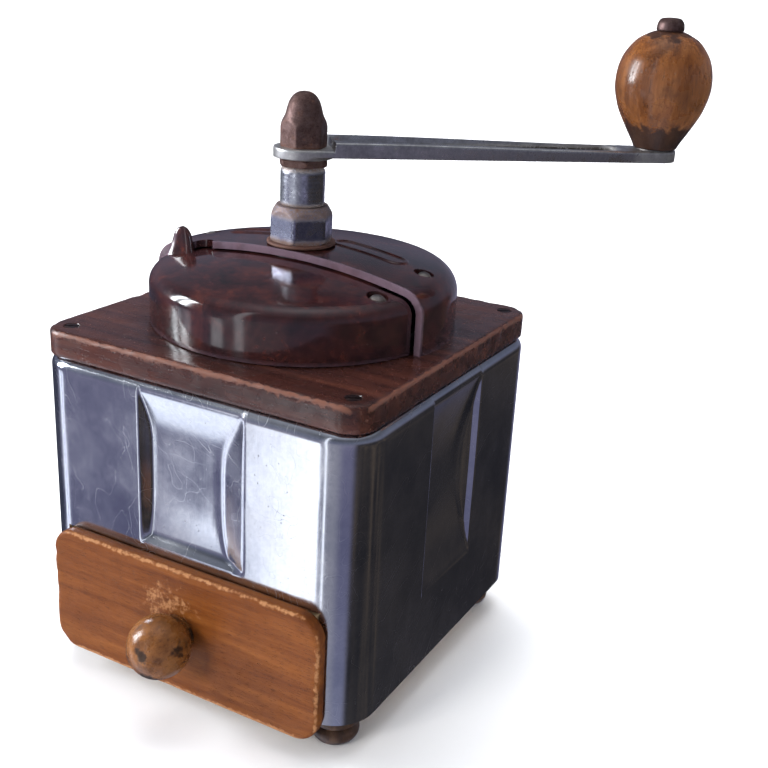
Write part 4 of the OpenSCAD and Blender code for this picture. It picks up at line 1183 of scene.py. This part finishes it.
# ---------- feet ----------

def make_feet():
    """Four turned feet, each with its own unevenness."""
    high = box_mm("feet")[1]
    foot_at = 50.0
    radius = high.x - foot_at
    # how far inside the full radius, and height
    shape = [(2.6, 0.02), (1.2, 0.8), (0.2, 2.6), (0.15, 4.2), (1.1, 5.4), (1.7, 5.9), (1.1, 6.4), (0.2, 7.2),
             (0, 8.6), (0.3, 10), (1, 10.6), (0.6, 11.2)]
    outline = [tuple(p) for p in spline([(radius - inset, z) for inset, z in shape], 4)]
    profile = [(3.4, 4.0), (3.4, 0.3), (3.8, 0.0)] + outline + [(radius - 0.4, high.z)]
    for i, (sx, sy) in enumerate([(-1, -1), (1, -1), (1, 1), (-1, 1)]):
        foot = lathe(
            f"foot_{i}", profile, (sx * foot_at, sy * foot_at), 96,
            lambda r, z, a: r - 0.12 * max(0, wobble((r * math.cos(a), r * math.sin(a) + 30 * i, z), 4, 1.1)))
        paint(foot, "wear_and_highlight", lambda p: 0.35 * smoothstep(
            radius - 1.5, radius, math.hypot(abs(p.x) - foot_at, abs(p.y) - foot_at)))
        place(foot, "housing", FOOT_WOOD, "foot_wood", "feet")


# ---------- CAD nodes that stay ----------

KEPT = {
    BROWN_STEEL: ["top_plate_screws"],
    DULL_STEEL: ["base_screws", "foot_screws", "housing_screws", "bridge_screws", "lid_bracket",
                 "bracket_screw", "bearing_tube", "lower_bridge_screws", "drive_shaft", "burr_washer",
                 "burr_nut", "drawer_knob_screw", "drawer_nails", "knob_washer"],
    CAST_IRON: ["burr_housing", "outer_burr", "upper_bridge", "lower_bridge", "inner_burr"],
    BRASS: ["lower_bush"],
    INNER_WOOD: ["corner_blocks", "chute_board", "drawer_runners", "base_board", "drawer_sides",
                 "drawer_back", "drawer_bottom"],
}


def finish_kept_nodes():
    """Gives the CAD nodes that stay their materials, and the wooden ones softened edges."""
    for material, names in KEPT.items():
        for name in names:
            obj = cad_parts[name]
            obj.data.materials.clear()
            obj.data.materials.append(material)
            if material is INNER_WOOD:
                add_bevel(obj, 0.4, 2, 50)


# ---------- studio ----------

def plain_material(name, colour, roughness):
    """Even material with a very faint mottle, for the floor."""
    look = Look(name)
    tint = look.noise(60, detail=3)
    shade = look.ramp(tint, [(0.3, tuple(0.985 * c for c in colour)), (0.7, colour)])
    return look.finish(shade, look.span(tint, 0.3, 0.7, roughness - 0.04, roughness + 0.04))


def make_stage():
    """Pale round floor that curves up on every side, so that each view has the same plain ground."""
    pale = plain_material("pale_floor", (0.93, 0.93, 0.935), 0.55)
    flat = 1150
    bend = 300
    path = [(flat * f, 0) for f in (0.02, 0.25, 0.5, 0.75, 1)]
    path += [(flat + bend * math.sin(QUARTER * f), bend * (1 - math.cos(QUARTER * f))) for f in even(12)[1:]]
    path += [(flat + bend, 700)]
    sides = 96
    verts = [(0, 0, 0)] + [(r * math.cos(math.tau * k / sides), r * math.sin(math.tau * k / sides), z)
                           for r, z in path for k in range(sides)]
    faces = [(0, 1 + k, 1 + (k + 1) % sides) for k in range(sides)]
    faces += [tuple(i + 1 for i in face) for face in grid_faces(len(path), sides)]
    sweep = mesh_piece("sweep", verts, faces)
    sweep.data.materials.append(pale)
    # polished metal reflects the room instead of the pale floor, as the real mill does
    sweep.visible_glossy = False


def softbox(name, centre, toward, width, height, power, colour=(1, 1, 1), mirrored=True):
    """Area lamp aimed at a point, in mm. With mirrored off it lights the mill but isn't seen in its gloss."""
    data = bpy.data.lights.new(name, "AREA")
    data.shape = "RECTANGLE"
    data.size = width * MM
    data.size_y = height * MM
    data.energy = power
    data.color = colour
    lamp = bpy.data.objects.new(name, data)
    bpy.context.scene.collection.objects.link(lamp)
    lamp.location = to_frame(centre)
    lamp.rotation_mode = "QUATERNION"
    lamp.rotation_quaternion = (Vector(centre) - Vector(toward)).to_track_quat("Z", "Y")
    lamp.visible_camera = False
    lamp.visible_glossy = mirrored


def make_world():
    """Room for the metal to reflect, by azimuth from the front and height above the horizon, in degrees.

    Low on the left are two windows and two narrow strips, with a dim glow beside them; its right is dark.
    """
    world = bpy.data.worlds.new("studio")
    bpy.context.scene.world = world
    world.use_nodes = True
    sky = Nodes(world.node_tree)
    toward = sky.node("ShaderNodeTexCoord").outputs["Generated"]
    split = sky.node("ShaderNodeSeparateXYZ", {0: toward})
    x, y, z = split.outputs
    azimuth = sky.scaled(sky.math("ARCTAN2", x, sky.scaled(y, -1.0)), 180 / math.pi)
    height = sky.scaled(sky.math("ARCSINE", z), 180 / math.pi)

    def band(value, middle, half, soft):
        """1 within half of the middle, falling to 0 over soft."""
        return sky.span(sky.math("ABSOLUTE", sky.math("SUBTRACT", value, middle)), half, half + soft, 1, 0)

    # the room from straight down to straight up
    level = sky.math("DIVIDE", sky.math("ADD", height, 90), 180)
    room = sky.ramp(level, [
        (0.12, (0.66, 0.70, 0.84)), (0.22, (0.42, 0.45, 0.60)), (0.33, (0.14, 0.14, 0.235)),
        (0.42, (0.235, 0.225, 0.33)), (0.58, (0.16, 0.175, 0.24)), (0.72, (0.095, 0.10, 0.12)),
        (0.86, (0.34, 0.36, 0.41)), (1.0, (0.95, 0.98, 1.05))])
    # dark behind on the left, and a dark clouded side on the right
    behind = sky.scaled(band(azimuth, -120, 32, 14), sky.span(height, 16, -8))
    room = sky.mix(sky.scaled(behind, 0.8), room, (0.02, 0.025, 0.04))
    right = sky.scaled(band(azimuth, 112, 50, 14), sky.span(height, 12, -6))
    cloud = sky.node("ShaderNodeTexNoise", {"Vector": toward, "Scale": 7.0, "Detail": 4.0}).outputs[0]
    shade = sky.ramp(cloud, [(0.38, (0.013, 0.013, 0.013)), (0.54, (0.032, 0.028, 0.024)),
                             (0.68, (0.12, 0.09, 0.062))])
    room = sky.mix(sky.scaled(right, 0.95), room, shade)
    glow = sky.scaled(band(azimuth, -4, 12, 26), sky.span(height, 10, -10))
    room = sky.mix(sky.scaled(glow, 0.9), room, (0.36, 0.36, 0.42))
    # windows and strips: azimuth, half width, softness, brightness, reach in height and colour
    foot = sky.span(height, -72, -52)
    low = sky.scaled(foot, sky.span(height, -10, -21))
    tall = sky.scaled(foot, sky.span(height, 58, 40))
    window = (2.3, 2.38, 2.55)
    strip = (2.1, 2.2, 2.5)
    for middle, half, soft, light, reach, colour in (
            (-30.5, 3.0, 3.2, 1.0, low, window), (-12, 1.8, 3.2, 0.8, tall, window),
            (-59, 2.2, 2.5, 0.75, low, strip), (-69, 2.2, 2.5, 0.9, low, strip)):
        room = sky.mix(sky.scaled(sky.scaled(band(azimuth, middle, half, soft), reach), light), room, colour)
    # bright patch far down, for the brow of the front grip
    brow = sky.scaled(sky.span(height, -74, -62), sky.span(height, -34, -44))
    room = sky.mix(sky.scaled(sky.scaled(band(azimuth, -50, 4, 8), brow), 0.7), room, (1.5, 1.6, 1.8))
    back = sky.node("ShaderNodeBackground", {"Color": room, "Strength": 1.0})
    out = sky.node("ShaderNodeOutputWorld")
    sky.tree.links.new(back.outputs[0], out.inputs["Surface"])


def make_lights():
    """The windows' lamps on the left, which gloss mirrors, and soft lamps that it doesn't."""
    make_world()
    middle = (0, 0, 80)
    softbox("window_left", (-800, -470, 420), middle, 120, 520, 6, (0.93, 0.96, 1.0))
    softbox("window_right", (-870, -300, 420), middle, 90, 520, 4.5, (0.90, 0.95, 1.0))
    softbox("fill", (-250, -950, 520), middle, 320, 320, 6, (1.0, 0.97, 0.93), mirrored=False)
    softbox("overhead", (-150, 250, 1100), middle, 800, 800, 11, (0.96, 0.98, 1.0), mirrored=False)
    softbox("backdrop", (0, 500, 900), (0, 1150, 250), 1400, 300, 16, mirrored=False)


def make_camera():
    """Camera at the photograph's viewing angle, with its slight roll."""
    azimuth, elevation, roll = (math.radians(a) for a in (28.135, 20.713, 3.114))
    target = Vector((34.43, 0, 102.9))
    distance = 377.1
    back = Vector((math.sin(azimuth) * math.cos(elevation), -math.cos(azimuth) * math.cos(elevation),
                   math.sin(elevation)))
    right = Vector((math.cos(azimuth), math.sin(azimuth), 0))
    up = back.cross(right)
    cam_right = math.cos(roll) * right + math.sin(roll) * up
    cam_up = -math.sin(roll) * right + math.cos(roll) * up
    data = bpy.data.cameras.new("camera")
    data.sensor_width = 36
    data.lens = 52.6
    data.clip_start, data.clip_end = 0.01, 20
    camera = bpy.data.objects.new("camera", data)
    bpy.context.scene.collection.objects.link(camera)
    camera.matrix_world = Matrix((cam_right, cam_up, back)).transposed().to_4x4()
    camera.location = to_frame(target + back * distance)
    bpy.context.scene.camera = camera


bpy.context.scene.view_settings.view_transform = "Standard"
make_camera()
make_stage()
make_lights()
make_case()
make_plate()
make_dome()
make_lid()
make_rivets()
make_stack()
make_arm()
make_knob()
make_drawer_front()
make_ball()
make_feet()
finish_kept_nodes()
